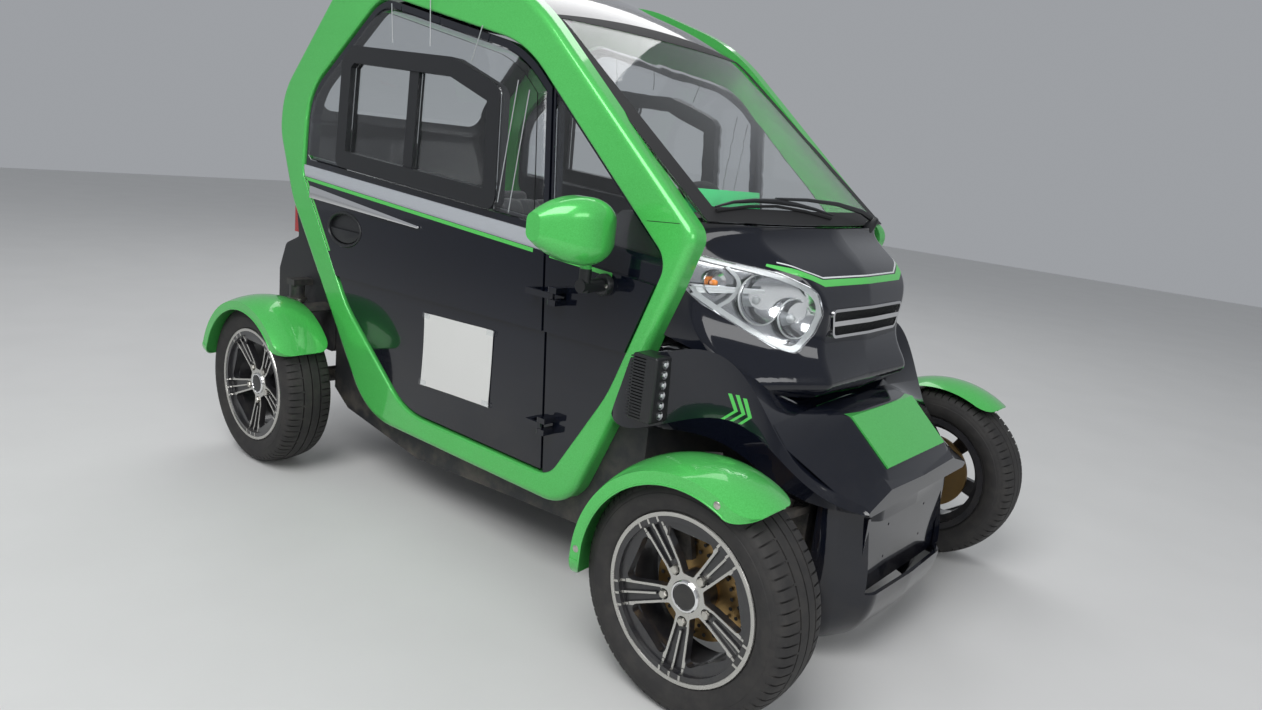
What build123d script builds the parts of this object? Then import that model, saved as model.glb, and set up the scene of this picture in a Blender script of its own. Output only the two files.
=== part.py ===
"""Four-wheeled electric velomobile with a closed two-seat cabin.

Row frame: +X to the vehicle's left, -Y ahead, +Z up, origin on the floor under the middle of the vehicle.
Tables of points give y as the distance behind the front axle, and z as the height above the floor.
"""
from math import asin, cos, degrees, radians, sin, tan
import os

from build123d import *

os.makedirs("parts", exist_ok=True)

# Wheels and stance, in millimetres
tyre_radius = 258
tyre_width = 158
wheelbase = 1750
wheel_centre_x = 623
rim_lip_radius = 178
rim_seat_radius = 165
rim_width = 134
rim_lip = 7
rim_wall = 5
rim_well_radius = 146
spoke_count = 5
spoke_turn = 0
spoke_root = (48, 17)
spoke_tip = (152, 27)
spoke_rail = 5
spoke_rib_half = 2.2
pocket_depth = 7
spoke_face = ((72, 44), (162.5, 58))
spoke_thickness = 20
hub_radius = 46
hub_bore_radius = 24
bearing_gap = 0.4
lug_circle = 57
lug_hole_radius = 6
lug_pocket_radius = 12
disc_radius = 112
disc_thickness = 10
seat_gap = 0.3

# Mudguards
guard_clearance = 13
guard_inner_radius = tyre_radius + guard_clearance
guard_sheet = 4
guard_crown = 14
guard_inner_x = 548
guard_outer_x = 728
guard_flange = 26
guard_corner = 50
front_guard_arc = (-11, 124)
rear_guard_arc = (8, 148)

# Steering and doors
steer_axis_x = 545
steer_ball_rise = 100
door_hinge_x = 532
door_hinge_y = 590
door_hinge_z = (430, 760)

# Cabin
hoop_face_x = 525
side_lean = 2.0
hoop_depth = 52
hoop_edge_radius = 20
door_gap = 8
door_recess = 8
door_thickness = 34
swage_height = 12
handle_recess_size = (95, 55)
handle_recess_depth = 14
belt_strip_proud = 7
pane_sheet = 4
pane_bulge = 20
pane_border = 18
slider_depth = 36
slider_band = 50
sliding_sheet = 4
screen_sheet = 6
sill_bottom_z = 142
floor_sheet = 8
rail_x = 255
tub_back_y = wheelbase - 120
tail_floor_z = tyre_radius + 107

rear_reach = guard_inner_radius + guard_crown + guard_sheet
rear_end = wheelbase + rear_reach * cos(radians(rear_guard_arc[0]))
front_axle_y = -(rear_end + tyre_radius) / 2 + tyre_radius
rear_axle_y = front_axle_y + wheelbase
axle_z = tyre_radius

# Side outlines: y, z, corner radius
hoop_outer = [
    (495, 228, 130),
    (335, 600, 500),
    (212, 962, 45),
    (820, 1482, 700),
    (1210, 1610, 600),
    (wheelbase - 140, 1585, 260),
    (wheelbase + 220, 1190, 200),
    (wheelbase + 230, 1060, 160),
    (wheelbase + 130, 845, 250),
    (wheelbase - 375, 228, 260),
]
hoop_inner = [
    (565, 296, 75),
    (405, 555, 400),
    (282, 893, 60),
    (810, 1352, 350),
    (wheelbase - 310, 1482, 150),
    (wheelbase + 60, 1190, 200),
    (wheelbase + 65, 935, 80),
    (wheelbase - 230, 550, 400),
    (wheelbase - 570, 296, 250),
]
shut_line = ((594, 296), (722, 1420))
belt_top = ((300, 878), (1900, 968))
belt_bottom = ((300, 835), (1900, 933))
crease = ((300, 668), (1900, 628))
slider_outline = [
    (852, 932, 30),
    (wheelbase - 142, 976, 30),
    (wheelbase - 148, 1296, 25),
    (wheelbase - 196, 1336, 30),
    (1072, 1312, 60),
    (872, 1242, 40),
]
slider_post_y = 1245
slider_post_half = 21
handle_centre = (wheelbase - 205, 787)

# Canopy between the hoops, at its edges and along the middle: y, z, corner radius
canopy_edge = [
    (222, 990, 0),
    (805, 1440, 620),
    (1210, 1590, 560),
    (wheelbase - 150, 1566, 230),
    (wheelbase + 200, 1180, 180),
    (wheelbase + 140, 845, 0),
]
canopy_middle = [
    (165, 990, 0),
    (820, 1490, 620),
    (1210, 1616, 560),
    (wheelbase - 110, 1590, 230),
    (wheelbase + 258, 1190, 180),
    (wheelbase + 200, 845, 0),
]
canopy_half_width = 440
screen_header = ((742, 1500), (862, 1340))
tail_header = ((wheelbase - 150, 1480), (wheelbase + 10, 1640))
rear_window_band = (1140, 1480)

# Level sections: z, middle y, corner x, corner y, shoulder x, shoulder y, side x
bumper_sections = [
    (58, -150, 180, -145, 262, -108, 285),
    (105, -192, 190, -184, 280, -120, 300),
    (212, -210, 195, -205, 296, -125, 305),
    (420, -196, 190, -187, 304, -108, 314),
]
bonnet_sections = [
    (600, 14, 208, 34, 330, 92, 440),
    (664, -8, 210, -10, 395, 120, 462),
    (725, 12, 206, 20, 425, 192, 468),
    (800, 14, 212, 22, 436, 232, 468),
    (900, 52, 270, 80, 450, 258, 466),
    (985, 140, 290, 170, 448, 262, 462),
]
bumper_back_y = 60
bonnet_back_y = 330
bonnet_wall = 9
bonnet_foot = [(-200, 598), (40, 604), (230, 702), (340, 736)]

# Crosswise sections of the shoulder fairing: y, middle z, ridge x, ridge z, brow x, brow z, edge x, edge z, foot z
fairing_sections = [
    (-196, 438, 186, 444, 284, 414, 290, 408, 400),
    (-120, 498, 200, 504, 318, 440, 326, 420, 400),
    (-20, 553, 215, 556, 380, 522, 386, 494, 432),
    (50, 584, 235, 590, 418, 634, 424, 553, 480),
    (200, 638, 300, 650, 500, 712, 492, 545, 520),
    (385, 690, 320, 700, 510, 762, 508, 552, 520),
]

# Headlamp and grille seen from ahead: x, z, corner radius
headlamp_outline = [
    (483, 924, 10),
    (300, 891, 60),
    (236, 858, 40),
    (214, 806, 40),
    (220, 758, 40),
    (255, 707, 25),
    (300, 719, 40),
    (436, 812, 60),
]
headlamp_depth = 38
grille_outline = [(193, 816, 14), (170, 746, 18), (-170, 746, 18), (-193, 816, 14)]
grille_depth = 18
hatch_outline = [(172, 579), (167, 481), (-167, 481), (-172, 579)]

# Tail seen from the side: y, z, corner radius
tail_outline = [
    (wheelbase - 110, tail_floor_z, 20),
    (wheelbase + 180, tail_floor_z, 60),
    (wheelbase + 253, 470, 60),
    (wheelbase + 253, 590, 30),
    (wheelbase + 212, 682, 30),
    (wheelbase + 130, 716, 10),
    (wheelbase + 150, 835, 10),
    (wheelbase - 110, 835, 20),
]
tail_half_width = 462
tub_half_width = 463
rear_window_half_width = 350
grille_proud = 7
grille_ring = 7
grille_bar = (775, 787)
bay_front_y = -80
plate_half_width = 215
plate_y = -172
plate_hole_x = 105
plate_hole_z = (247, 330)
plate_hole_radius = 3.5
rail_z = (135, 215)
tower_top_z = tyre_radius + 140
motor_radius = 78
motor_half_length = 120
steering_tilt = 28
steering_wheel_y = 640
steering_wheel_z = 900
steering_ring_radius = 165
column_shaft_radius = 10
tail_lamp = (wheelbase + 134, 728, 820)

# Mirror shell: x, middle y, middle z, depth, height, corner radius
mirror_sections = [
    (-546, 430, 940, 76, 108, 30),
    (-640, 424, 942, 116, 148, 44),
    (-730, 466, 944, 42, 60, 18),
]
mirror_foot = (446, 812)
mirror_foot_radius = 24
mirror_arm_radius = 13
mirror_arm_reach = 62

bodies = {}


def side_plane(inward=0.0):
    """Leaning plane of the right-hand cabin side, moved inboard by a distance."""
    lean = radians(side_lean)
    normal = Vector(cos(lean), 0, -sin(lean))
    return Plane(origin=Vector(-hoop_face_x, front_axle_y, 0) + normal * inward, x_dir=(0, 1, 0), z_dir=normal)


def upright_plane(x=0.0):
    """Upright lengthwise plane at a distance to the left, with its origin at the front axle."""
    return Plane(origin=(x, front_axle_y, 0), x_dir=(0, 1, 0), z_dir=(1, 0, 0))


def level_plane(z):
    """Level plane with its origin over the front axle."""
    return Plane(origin=(0, front_axle_y, z), x_dir=(1, 0, 0), z_dir=(0, 0, 1))


def cross_plane(y, facing=-1):
    """Crosswise upright plane at a distance behind the front axle."""
    return Plane(origin=(0, front_axle_y + y, 0), x_dir=(1, 0, 0), z_dir=(0, facing, 0))


def rounded_face(points):
    """Closed outline with a radius at each corner."""
    with BuildSketch(mode=Mode.PRIVATE) as outline:
        with BuildLine():
            FilletPolyline(*[(y, z) for y, z, _ in points], radius=[r for _, _, r in points], close=True)
        make_face()
    return outline.sketch


def straight_face(points):
    with BuildSketch(mode=Mode.PRIVATE) as outline:
        with BuildLine():
            Polyline(*points, close=True)
        make_face()
    return outline.sketch


def grown(face, distance):
    return offset(face, amount=distance, kind=Kind.ARC, mode=Mode.PRIVATE)


def line_height(line, y):
    """Height of a straight side line at a distance behind the front axle."""
    (y0, z0), (y1, z1) = line
    return z0 + (z1 - z0) * (y - y0) / (y1 - y0)


def line_depth(line, z):
    """Distance behind the front axle of a straight side line at a height."""
    (y0, z0), (y1, z1) = line
    return y0 + (y1 - y0) * (z - z0) / (z1 - z0)


def mirrored(part):
    return mirror(part, about=Plane.YZ)


def keep(name, part):
    part.label = name
    bodies[name] = part
    export_step(part, f"parts/{name}.step")


def keep_both(name, part):
    """Keep a right-hand piece and its mirror image as one piece of two solids."""
    keep(name, Compound(children=[part, mirrored(part)]))


def keep_pair(name, part):
    """Keep a right-hand piece and its mirror image as two pieces."""
    keep(f"{name}_right", part)
    keep(f"{name}_left", mirrored(part))


def block(x0, x1, y0, y1, z0, z1):
    """Box between two corners, y measured behind the front axle."""
    middle = ((x0 + x1) / 2, front_axle_y + (y0 + y1) / 2, (z0 + z1) / 2)
    return Pos(*middle) * Box(x1 - x0, y1 - y0, z1 - z0)


# Areas of the cabin side, in the side plane
far = 2600
hoop_area = rounded_face(hoop_outer)
loop_area = rounded_face(hoop_inner)
door_loop = grown(loop_area, -door_gap)
low_y = line_depth(shut_line, 0)
high_y = line_depth(shut_line, 2000)
behind_shut = straight_face([(low_y + door_gap / 2, 0), (far, 0), (far, 2000), (high_y + door_gap / 2, 2000)])
ahead_shut = straight_face([(low_y - door_gap / 2, 0), (-far, 0), (-far, 2000), (high_y - door_gap / 2, 2000)])


def area_between(lower, upper):
    """Area of the side between two straight lines."""
    return straight_face(
        [
            (0, line_height(lower, 0)),
            (far, line_height(lower, far)),
            (far, line_height(upper, far)),
            (0, line_height(upper, 0)),
        ]
    )


above_belt = area_between(belt_top, ((300, 2000), (1900, 2000)))
belt_area = area_between(belt_bottom, belt_top)
swage_area = area_between(crease, belt_bottom)
door_area = door_loop & behind_shut
front_area = grown(loop_area, -seat_gap) & ahead_shut
pane_area = grown(door_loop & behind_shut, -pane_border) & area_between(
    ((300, belt_top[0][1] + pane_border), (1900, belt_top[1][1] + pane_border)), ((300, 2000), (1900, 2000))
)
quarter_area = grown(front_area, -pane_border / 3) & area_between(
    ((300, belt_top[0][1] + pane_border), (1900, belt_top[1][1] + pane_border)), ((300, 2000), (1900, 2000))
)
slider_area = rounded_face(slider_outline)
post_front, post_back = slider_post_y - slider_post_half, slider_post_y + slider_post_half
post_area = straight_face([(post_front, 0), (post_back, 0), (post_back, 2000), (post_front, 2000)])

# Green hoop round each door opening
with BuildPart() as hoop:
    with BuildSketch(side_plane()):
        add(hoop_area)
        add(loop_area, mode=Mode.SUBTRACT)
    extrude(amount=hoop_depth)
    outer_face = hoop.faces().sort_by(SortBy.AREA)[-2:].sort_by(Axis.X)[0]
    fillet(outer_face.inner_wires()[0].edges(), radius=hoop_edge_radius / 3)
    outer_face = hoop.faces().sort_by(SortBy.AREA)[-2:].sort_by(Axis.X)[0]
    fillet(outer_face.outer_wire().edges(), radius=hoop_edge_radius)
keep_both("side_hoops", hoop.part)

# Room that the hoop takes out of the pieces beside it
with BuildPart() as hoop_room:
    with BuildSketch(side_plane(-60)):
        add(grown(hoop_area, seat_gap))
    extrude(amount=60 + hoop_depth + seat_gap)
hoop_rooms = [hoop_room.part, mirrored(hoop_room.part)]

# Door panel with its proud shoulder, window opening and oval handle recess
with BuildPart() as door_panel:
    with BuildSketch(side_plane(door_recess)):
        add(door_area)
    extrude(amount=door_thickness)
    with BuildSketch(side_plane(door_recess)) as shoulder:
        add(door_area & swage_area)
    extrude(amount=-swage_height, taper=0)
    with BuildSketch(side_plane(door_recess - swage_height)):
        with Locations(handle_centre):
            Ellipse(*handle_recess_size)
    extrude(amount=handle_recess_depth, mode=Mode.SUBTRACT)
    with BuildSketch(side_plane(door_recess)):
        add(pane_area)
    extrude(amount=door_thickness, mode=Mode.SUBTRACT)

hinge_origin = (-door_hinge_x, front_axle_y + door_hinge_y)


def hinge_drum(radius, z0, z1):
    """Upright round on the door's hinge axis."""
    return extrude(Plane(origin=(*hinge_origin, z0)) * Circle(radius), amount=z1 - z0)


def outer_face_x(z):
    """Place of the door's bare face at a height."""
    return -hoop_face_x + z * tan(radians(side_lean)) + door_recess


door_part = door_panel.part
panel_hinges = []
for hinge_z in door_hinge_z:
    edge_y = line_depth(shut_line, hinge_z) + door_gap / 2
    face_x = outer_face_x(hinge_z)
    outer_x = -door_hinge_x - 9
    low, high = hinge_z - 7.5, hinge_z + 7.5
    leaf = hinge_drum(9, low, high) + block(outer_x, -door_hinge_x, door_hinge_y, edge_y + 22, low, high)
    leaf = leaf + block(outer_x, face_x + 10, edge_y + 8, edge_y + 22, low, high)
    door_part = door_part + (leaf - hinge_drum(5 + bearing_gap, low - 1, high + 1))
    for z0, z1 in ((hinge_z - 22, hinge_z - 8), (hinge_z + 8, hinge_z + 22)):
        lug = hinge_drum(9, z0, z1) + block(outer_x, face_x + 10, door_hinge_y - 24, door_hinge_y - 4, z0, z1)
        panel_hinges.append(lug)
    panel_hinges.append(hinge_drum(5, hinge_z - 22, hinge_z + 22))
keep_pair("door_panel", door_part)

# Silver strip along the foot of the door window
with BuildPart() as belt_strip:
    with BuildSketch(side_plane(door_recess)):
        add(door_area & belt_area)
    extrude(amount=-belt_strip_proud)
keep_pair("door_belt_strip", belt_strip.part)

# Clear blister pane, dished outwards, with the opening of the sliding window
with BuildPart() as door_pane:
    with BuildSketch(side_plane(door_recess + pane_sheet)):
        add(grown(pane_area, -seat_gap))
    extrude(amount=-pane_bulge, taper=40)
    with BuildSketch(side_plane(door_recess + pane_sheet)):
        add(grown(pane_area, -seat_gap - pane_sheet))
    extrude(amount=-(pane_bulge - pane_sheet), taper=40, mode=Mode.SUBTRACT)
    with BuildSketch(side_plane(door_recess - pane_bulge)):
        add(slider_area)
    extrude(amount=pane_bulge + pane_sheet, mode=Mode.SUBTRACT)
keep_pair("door_pane", door_pane.part)

# Black frame of the sliding window with its two panes
with BuildPart() as slider:
    with BuildSketch(side_plane(door_recess - pane_bulge)):
        add(grown(slider_area, -seat_gap))
        add(grown(slider_area, -slider_band), mode=Mode.SUBTRACT)
    extrude(amount=slider_depth)
    with BuildSketch(side_plane(door_recess - pane_bulge + 6)):
        add(grown(slider_area, -slider_band) & post_area)
    extrude(amount=slider_depth - 12)
keep_pair("slider_frame", slider.part)

# Two panes of glass in each sliding window's frame
with BuildPart() as slider_panes:
    with BuildSketch(side_plane(door_recess - pane_bulge + slider_depth / 2)):
        add(grown(slider_area, -slider_band - seat_gap))
        add(grown(post_area, seat_gap), mode=Mode.SUBTRACT)
    extrude(amount=sliding_sheet)
keep_pair("slider_panes", slider_panes.part)

# Fixed panel and triangular glass ahead of the door
with BuildPart() as front_panel:
    with BuildSketch(side_plane(door_recess)):
        add(front_area)
    extrude(amount=door_thickness)
    with BuildSketch(side_plane(door_recess)):
        add(front_area & swage_area)
    extrude(amount=-swage_height)
    with BuildSketch(side_plane(door_recess)):
        add(quarter_area)
    extrude(amount=door_thickness, mode=Mode.SUBTRACT)
front_panel_part = front_panel.part
for piece in panel_hinges:
    front_panel_part = front_panel_part + piece
keep_both("front_side_panels", front_panel_part)

with BuildPart() as quarter:
    with BuildSketch(side_plane(door_recess + pane_sheet)):
        add(grown(quarter_area, -seat_gap))
    extrude(amount=pane_sheet)
keep_both("quarter_glass", quarter.part)


def canopy_section(points, sheet):
    """Thin band that follows one side profile of the canopy."""
    with BuildLine(mode=Mode.PRIVATE) as profile:
        FilletPolyline(*[(y, z) for y, z, _ in points], radius=[r for _, _, r in points[1:-1]])
    path = Wire(profile.line.edges())
    inner = path.offset_2d(sheet, side=Side.RIGHT, closed=False)
    ends = [Edge.make_line(path @ 0, inner @ 0), Edge.make_line(path @ 1, inner @ 1)]
    if (path @ 0 - inner @ 0).length > 2 * sheet:
        ends = [Edge.make_line(path @ 0, inner @ 1), Edge.make_line(path @ 1, inner @ 0)]
    return Face(Wire.combine(path.edges() + inner.edges() + ends)[0])


# Canopy skin from the windscreen over the roof to the tail, then parted into its panels
edge_band = canopy_section(canopy_edge, screen_sheet)
middle_band = canopy_section(canopy_middle, screen_sheet)
with BuildPart() as canopy:
    for x, band in ((-canopy_half_width, edge_band), (0, middle_band), (canopy_half_width, edge_band)):
        with BuildSketch(upright_plane(x)):
            add(band)
    loft()


def nose_section(z, middle_y, corner_x, corner_y, shoulder_x, shoulder_y, side_x, back_y, wall=0):
    """Level outline of the nose, drawn in by a wall thickness."""
    return [
        (side_x - wall, back_y),
        (shoulder_x - wall, shoulder_y + wall),
        (corner_x - wall / 2, corner_y + wall),
        (0, middle_y + wall),
        (-corner_x + wall / 2, corner_y + wall),
        (-shoulder_x + wall, shoulder_y + wall),
        (-side_x + wall, back_y),
    ]


def nose_loft(sections, back_y, wall=0):
    """Loft of level outlines with rounded corners."""
    with BuildPart(mode=Mode.PRIVATE) as form:
        for section in sections:
            with BuildSketch(level_plane(section[0])):
                with BuildLine():
                    outline = nose_section(*section, back_y, wall)
                    FilletPolyline(*outline, radius=[0.1, 60, 40, 200, 40, 60, 0.1], close=True)
                make_face()
        loft()
    return form.part



def side_prism(points, half_width=700):
    """Slab across the whole vehicle from an outline seen from the side."""
    with BuildPart(mode=Mode.PRIVATE) as prism:
        with BuildSketch(upright_plane(-half_width)):
            add(straight_face(points))
        extrude(amount=2 * half_width)
    return prism.part


def front_prism(face, near=-400, far_end=2400):
    """Slab along the whole vehicle from an area seen from ahead, x to the left and z up."""
    with BuildPart(mode=Mode.PRIVATE) as prism:
        with BuildSketch(Plane(origin=(0, front_axle_y + near, 0), x_dir=(1, 0, 0), z_dir=(0, -1, 0))):
            add(face)
        extrude(amount=-(far_end - near))
    return prism.part


def shifted(part, y):
    return part.moved(Location((0, y, 0)))


half_gap = seat_gap / 2

# Windscreen, roof and tail panel, parted across the canopy at the headers
header_low = line_depth(screen_header, 1100)
header_high = line_depth(screen_header, 1700)
tail_low = line_depth(tail_header, 1100)
tail_high = line_depth(tail_header, 1700)
screen_zone = [(-300, 700), (header_low - half_gap, 1100), (header_high - half_gap, 1700), (-300, 1700)]
roof_zone = [
    (header_low + half_gap, 1100),
    (tail_low - half_gap, 1100),
    (tail_high - half_gap, 1700),
    (header_high + half_gap, 1700),
]
tail_zone = [(tail_low + half_gap, 1100), (1100, 700), (2400, 700), (2400, 1700), (tail_high + half_gap, 1700)]
canopy_skin = canopy.part
for room in hoop_rooms:
    canopy_skin = canopy_skin - room
windscreen = canopy_skin & side_prism(screen_zone)
roof = canopy_skin & side_prism(roof_zone)
rear_skin = canopy_skin & side_prism(tail_zone)
with BuildSketch() as window_shape:
    with Locations((0, sum(rear_window_band) / 2)):
        RectangleRounded(2 * rear_window_half_width, rear_window_band[1] - rear_window_band[0], 50)
window_prism = front_prism(window_shape.sketch, near=wheelbase - 250)
window_hole = front_prism(grown(window_shape.sketch, seat_gap), near=wheelbase - 250)
keep("windscreen", windscreen)
keep("roof_panel", roof)
keep("rear_window", rear_skin & window_prism)
keep("tail_panel", rear_skin - window_hole)

# Bonnet shell with its lamp and grille openings
bonnet_inner = [(z - bonnet_wall * (z > 900) - 2 * (z < 620), *rest) for z, *rest in bonnet_sections]
bonnet_form = nose_loft(bonnet_sections, bonnet_back_y)
bonnet_hollow = nose_loft(bonnet_inner, bonnet_back_y + 5, bonnet_wall)
lamp_face = rounded_face(headlamp_outline)
grille_face = rounded_face(grille_outline)
lamp_prism = front_prism(lamp_face, far_end=bonnet_back_y)
lamp_hole = front_prism(grown(lamp_face, seat_gap), far_end=bonnet_back_y + 5)
grille_hole = front_prism(grown(grille_face, seat_gap), far_end=bonnet_back_y + 5)
below_bonnet = side_prism([(-300, 400), *bonnet_foot, (500, 760), (500, 400)])
bonnet_shell = bonnet_form - bonnet_hollow - lamp_hole - mirrored(lamp_hole) - grille_hole - below_bonnet
for room in hoop_rooms:
    bonnet_shell = bonnet_shell - room

headlamp = (bonnet_form & lamp_prism) - shifted(bonnet_form, headlamp_depth)
for room in hoop_rooms:
    headlamp = headlamp - room
keep_both("headlamps", headlamp)

# Grille frame with two slots
grille = (shifted(bonnet_form, -grille_proud) & front_prism(grille_face, far_end=200))
grille = grille - shifted(bonnet_form, grille_depth - grille_proud)
with BuildSketch() as grille_slots:
    add(grown(grille_face, -grille_ring))
    with Locations((0, sum(grille_bar) / 2)):
        Rectangle(500, grille_bar[1] - grille_bar[0], mode=Mode.SUBTRACT)
grille = grille - front_prism(grille_slots.sketch, far_end=200)
keep("grille", grille)

# Bumper with its plate recess, open behind around the front suspension
bumper_inner = [(z - 5 * (z < 60) + 5 * (z > 400), *rest) for z, *rest in bumper_sections]
bumper = nose_loft(bumper_sections, bumper_back_y)
bumper = bumper - nose_loft(bumper_inner, bumper_back_y + 5, bonnet_wall)
bumper = bumper - block(-400, 400, bay_front_y, 400, 0, 600)
plate_backing = block(-plate_half_width - 12, plate_half_width + 12, plate_y, plate_y + 22, 178, 372)
bumper = bumper + plate_backing - block(-plate_half_width, plate_half_width, -300, plate_y, 188, 364)
for hole_x in (-plate_hole_x, plate_hole_x):
    for hole_z in plate_hole_z:
        hole_plane = Plane(origin=(hole_x, front_axle_y + plate_y, hole_z), z_dir=(0, 1, 0))
        bumper = bumper - extrude(hole_plane * Circle(plate_hole_radius), amount=16)

# Shoulder fairing that spreads from the nose to the hoops, over the inner sides of the wheels
with BuildPart() as fairing:
    for y, middle_z, ridge_x, ridge_z, brow_x, brow_z, edge_x, edge_z, foot_z in fairing_sections:
        with BuildSketch(cross_plane(y)):
            half = [(ridge_x, ridge_z), (brow_x, brow_z), (edge_x, edge_z), (edge_x - 14, foot_z)]
            with BuildLine():
                Polyline((0, middle_z), *half, *[(-x, z) for x, z in reversed(half)], close=True)
            make_face()
    loft()
fairing_form = fairing.part
bonnet_shell = bonnet_shell - fairing_form
keep("bonnet", bonnet_shell)
nose_form = fairing_form + nose_loft(bumper_sections, bumper_back_y)
fairing_part = fairing_form
for room in hoop_rooms:
    fairing_part = fairing_part - room
nose_shell = fairing_part + bumper - block(-470, 470, 300 - seat_gap, 470, 300, 515 + seat_gap)
hatch_side = side_prism([(-62, 582), (-172, 484), (-165, 474), (100, 474), (100, 582)], 300)
hatch_block = hatch_side & front_prism(straight_face(hatch_outline), far_end=100)
hatch = hatch_block - nose_form - nose_form.moved(Location((0, -seat_gap, seat_gap)))
keep("nose_fairing", nose_shell)
keep("nose_hatch", hatch)

# Tail with its lamps
with BuildPart() as tail:
    with BuildSketch(upright_plane(-tail_half_width)):
        add(rounded_face(tail_outline))
    extrude(amount=2 * tail_half_width)
tail_body = tail.part
for room in hoop_rooms:
    tail_body = tail_body - room
keep("tail_body", tail_body)
lamp_y, lamp_z0, lamp_z1 = tail_lamp
tail_lamp_block = block(-452, -310, lamp_y, lamp_y + 56, lamp_z0, lamp_z1)
tail_lamp_block = fillet(tail_lamp_block.edges().filter_by(Axis.Z).sort_by(Axis.Y)[-2:], radius=18)
for room in hoop_rooms:
    tail_lamp_block = tail_lamp_block - room
keep_both("tail_lamps", tail_lamp_block - shifted(tail_body, seat_gap))

# Floor tub with its bulkheads
tub_outer = [
    (300, 515),
    (300, 215),
    (420, 182),
    (756, 165),
    (1169, sill_bottom_z),
    (tub_back_y - 81, 198),
    (tub_back_y, 250),
    (tub_back_y, 800),
    (tub_back_y - 130, 535),
    (1180, 290),
    (560, 290),
    (445, 515),
]
tub_inner = [
    (308, 900),
    (308, 222),
    (424, 190),
    (757, 173),
    (1169, sill_bottom_z + floor_sheet),
    (tub_back_y - 84, 206),
    (tub_back_y - floor_sheet, 256),
    (tub_back_y - floor_sheet, 900),
]
tub = side_prism(tub_outer, tub_half_width) - side_prism(tub_inner, tub_half_width - floor_sheet)
for room in hoop_rooms:
    tub = tub - room
keep("floor_tub", tub)

# Subframes
front_frame = block(-rail_x + 25, rail_x - 25, -120, -80, rail_z[0], rail_z[1])
for side in (-1, 1):
    x0, x1 = sorted((side * (rail_x - 25), side * (rail_x + 25)))
    front_frame = front_frame + block(x0, x1, -85, 300 - seat_gap, rail_z[0], rail_z[1])
    front_frame = front_frame + block(x0, x1, -50, 50, rail_z[1] - 5, tower_top_z)
front_frame = front_frame + block(-rail_x, rail_x, 120, 150, rail_z[0], rail_z[1])
front_frame = front_frame + block(-180, -120, plate_y + 22 + seat_gap, -110, 180, 210)
front_frame = front_frame + block(120, 180, plate_y + 22 + seat_gap, -110, 180, 210)
keep("front_subframe", front_frame)
rear_rail_z = (tail_floor_z - 50, tail_floor_z - seat_gap)
rear_frame = block(-320, 320, wheelbase + 110, wheelbase + 150, *rear_rail_z)
for side in (-1, 1):
    x0, x1 = sorted((side * 280, side * 320))
    rear_frame = rear_frame + block(x0, x1, tub_back_y + seat_gap, wheelbase + 150, *rear_rail_z)
keep("rear_subframe", rear_frame)


def ring_sector(x0, x1, radius0, radius1, start, end, axle_y):
    """Part of a ring about a wheel's axle, angles up from straight behind."""
    plane = Plane(origin=(0, axle_y, axle_z), x_dir=(1, 0, 0), z_dir=(0, -1, 0))
    with BuildPart(mode=Mode.PRIVATE) as ring:
        with BuildSketch(plane):
            with Locations(((x0 + x1) / 2, (radius0 + radius1) / 2)):
                Rectangle(abs(x1 - x0), radius1 - radius0)
        revolve(axis=Axis((0, axle_y, axle_z), (1, 0, 0)), revolution_arc=end - start)
    return turned(ring.part, start - 90, axle_y)


def turned(part, angle, axle_y):
    """Part turned about an axle from the top towards the front."""
    return part.rotate(Axis((0, axle_y, axle_z), (1, 0, 0)), angle)


def radial_plane(angle, axle_y):
    """Plane square to the radius of a wheel, angles from the top towards the front."""
    return Plane(origin=(0, axle_y, axle_z), x_dir=(1, 0, 0), z_dir=(0, -sin(radians(angle)), cos(radians(angle))))


def guard(arc, axle_y):
    """Crowned mudguard with a turned-down outer lip, on the right-hand side."""
    middle_x = -(guard_inner_x + guard_outer_x) / 2
    edge = guard_inner_radius
    plane = Plane(origin=(0, axle_y, axle_z), x_dir=(1, 0, 0), z_dir=(0, -1, 0))
    with BuildPart(mode=Mode.PRIVATE) as form:
        with BuildSketch(plane):
            with BuildLine():
                ThreePointArc((-guard_outer_x, edge), (middle_x, edge + guard_crown + guard_sheet), (-guard_inner_x, edge))
                Line((-guard_inner_x, edge), (-guard_inner_x - 1, edge))
                ThreePointArc(
                    (-guard_inner_x - 1, edge), (middle_x, edge + guard_crown), (-guard_outer_x + guard_sheet, edge)
                )
                Line((-guard_outer_x + guard_sheet, edge), (-guard_outer_x + guard_sheet, edge - guard_flange))
                Line((-guard_outer_x + guard_sheet, edge - guard_flange), (-guard_outer_x, edge - guard_flange))
                Line((-guard_outer_x, edge - guard_flange), (-guard_outer_x, edge))
            make_face()
        revolve(axis=Axis((0, axle_y, axle_z), (1, 0, 0)), revolution_arc=arc[1] - arc[0])
        for end, facing in ((0, -1), (arc[1] - arc[0], 1)):
            with BuildSketch(radial_plane(end, axle_y)):
                for x, turn in ((-guard_outer_x, 1), (-guard_inner_x, -1)):
                    with Locations((x + turn * guard_corner, facing * guard_corner)):
                        Rectangle(
                            guard_corner + guard_sheet,
                            guard_corner + guard_sheet,
                            align=(Align.MAX if turn > 0 else Align.MIN, Align.MAX if facing > 0 else Align.MIN),
                        )
                        Circle(guard_corner, mode=Mode.SUBTRACT)
            extrude(amount=2 * tyre_radius, mode=Mode.SUBTRACT)
    return turned(form.part, arc[0] - 90, axle_y)


keep_pair("front_mudguard", guard(front_guard_arc, front_axle_y))
rear_guard = guard(rear_guard_arc, rear_axle_y)
rear_stay = ring_sector(-565, -tail_half_width - seat_gap, guard_inner_radius - 6.5, guard_inner_radius - seat_gap,
                        100, 112, rear_axle_y)
keep_both("rear_mudguards", rear_guard)


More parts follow.
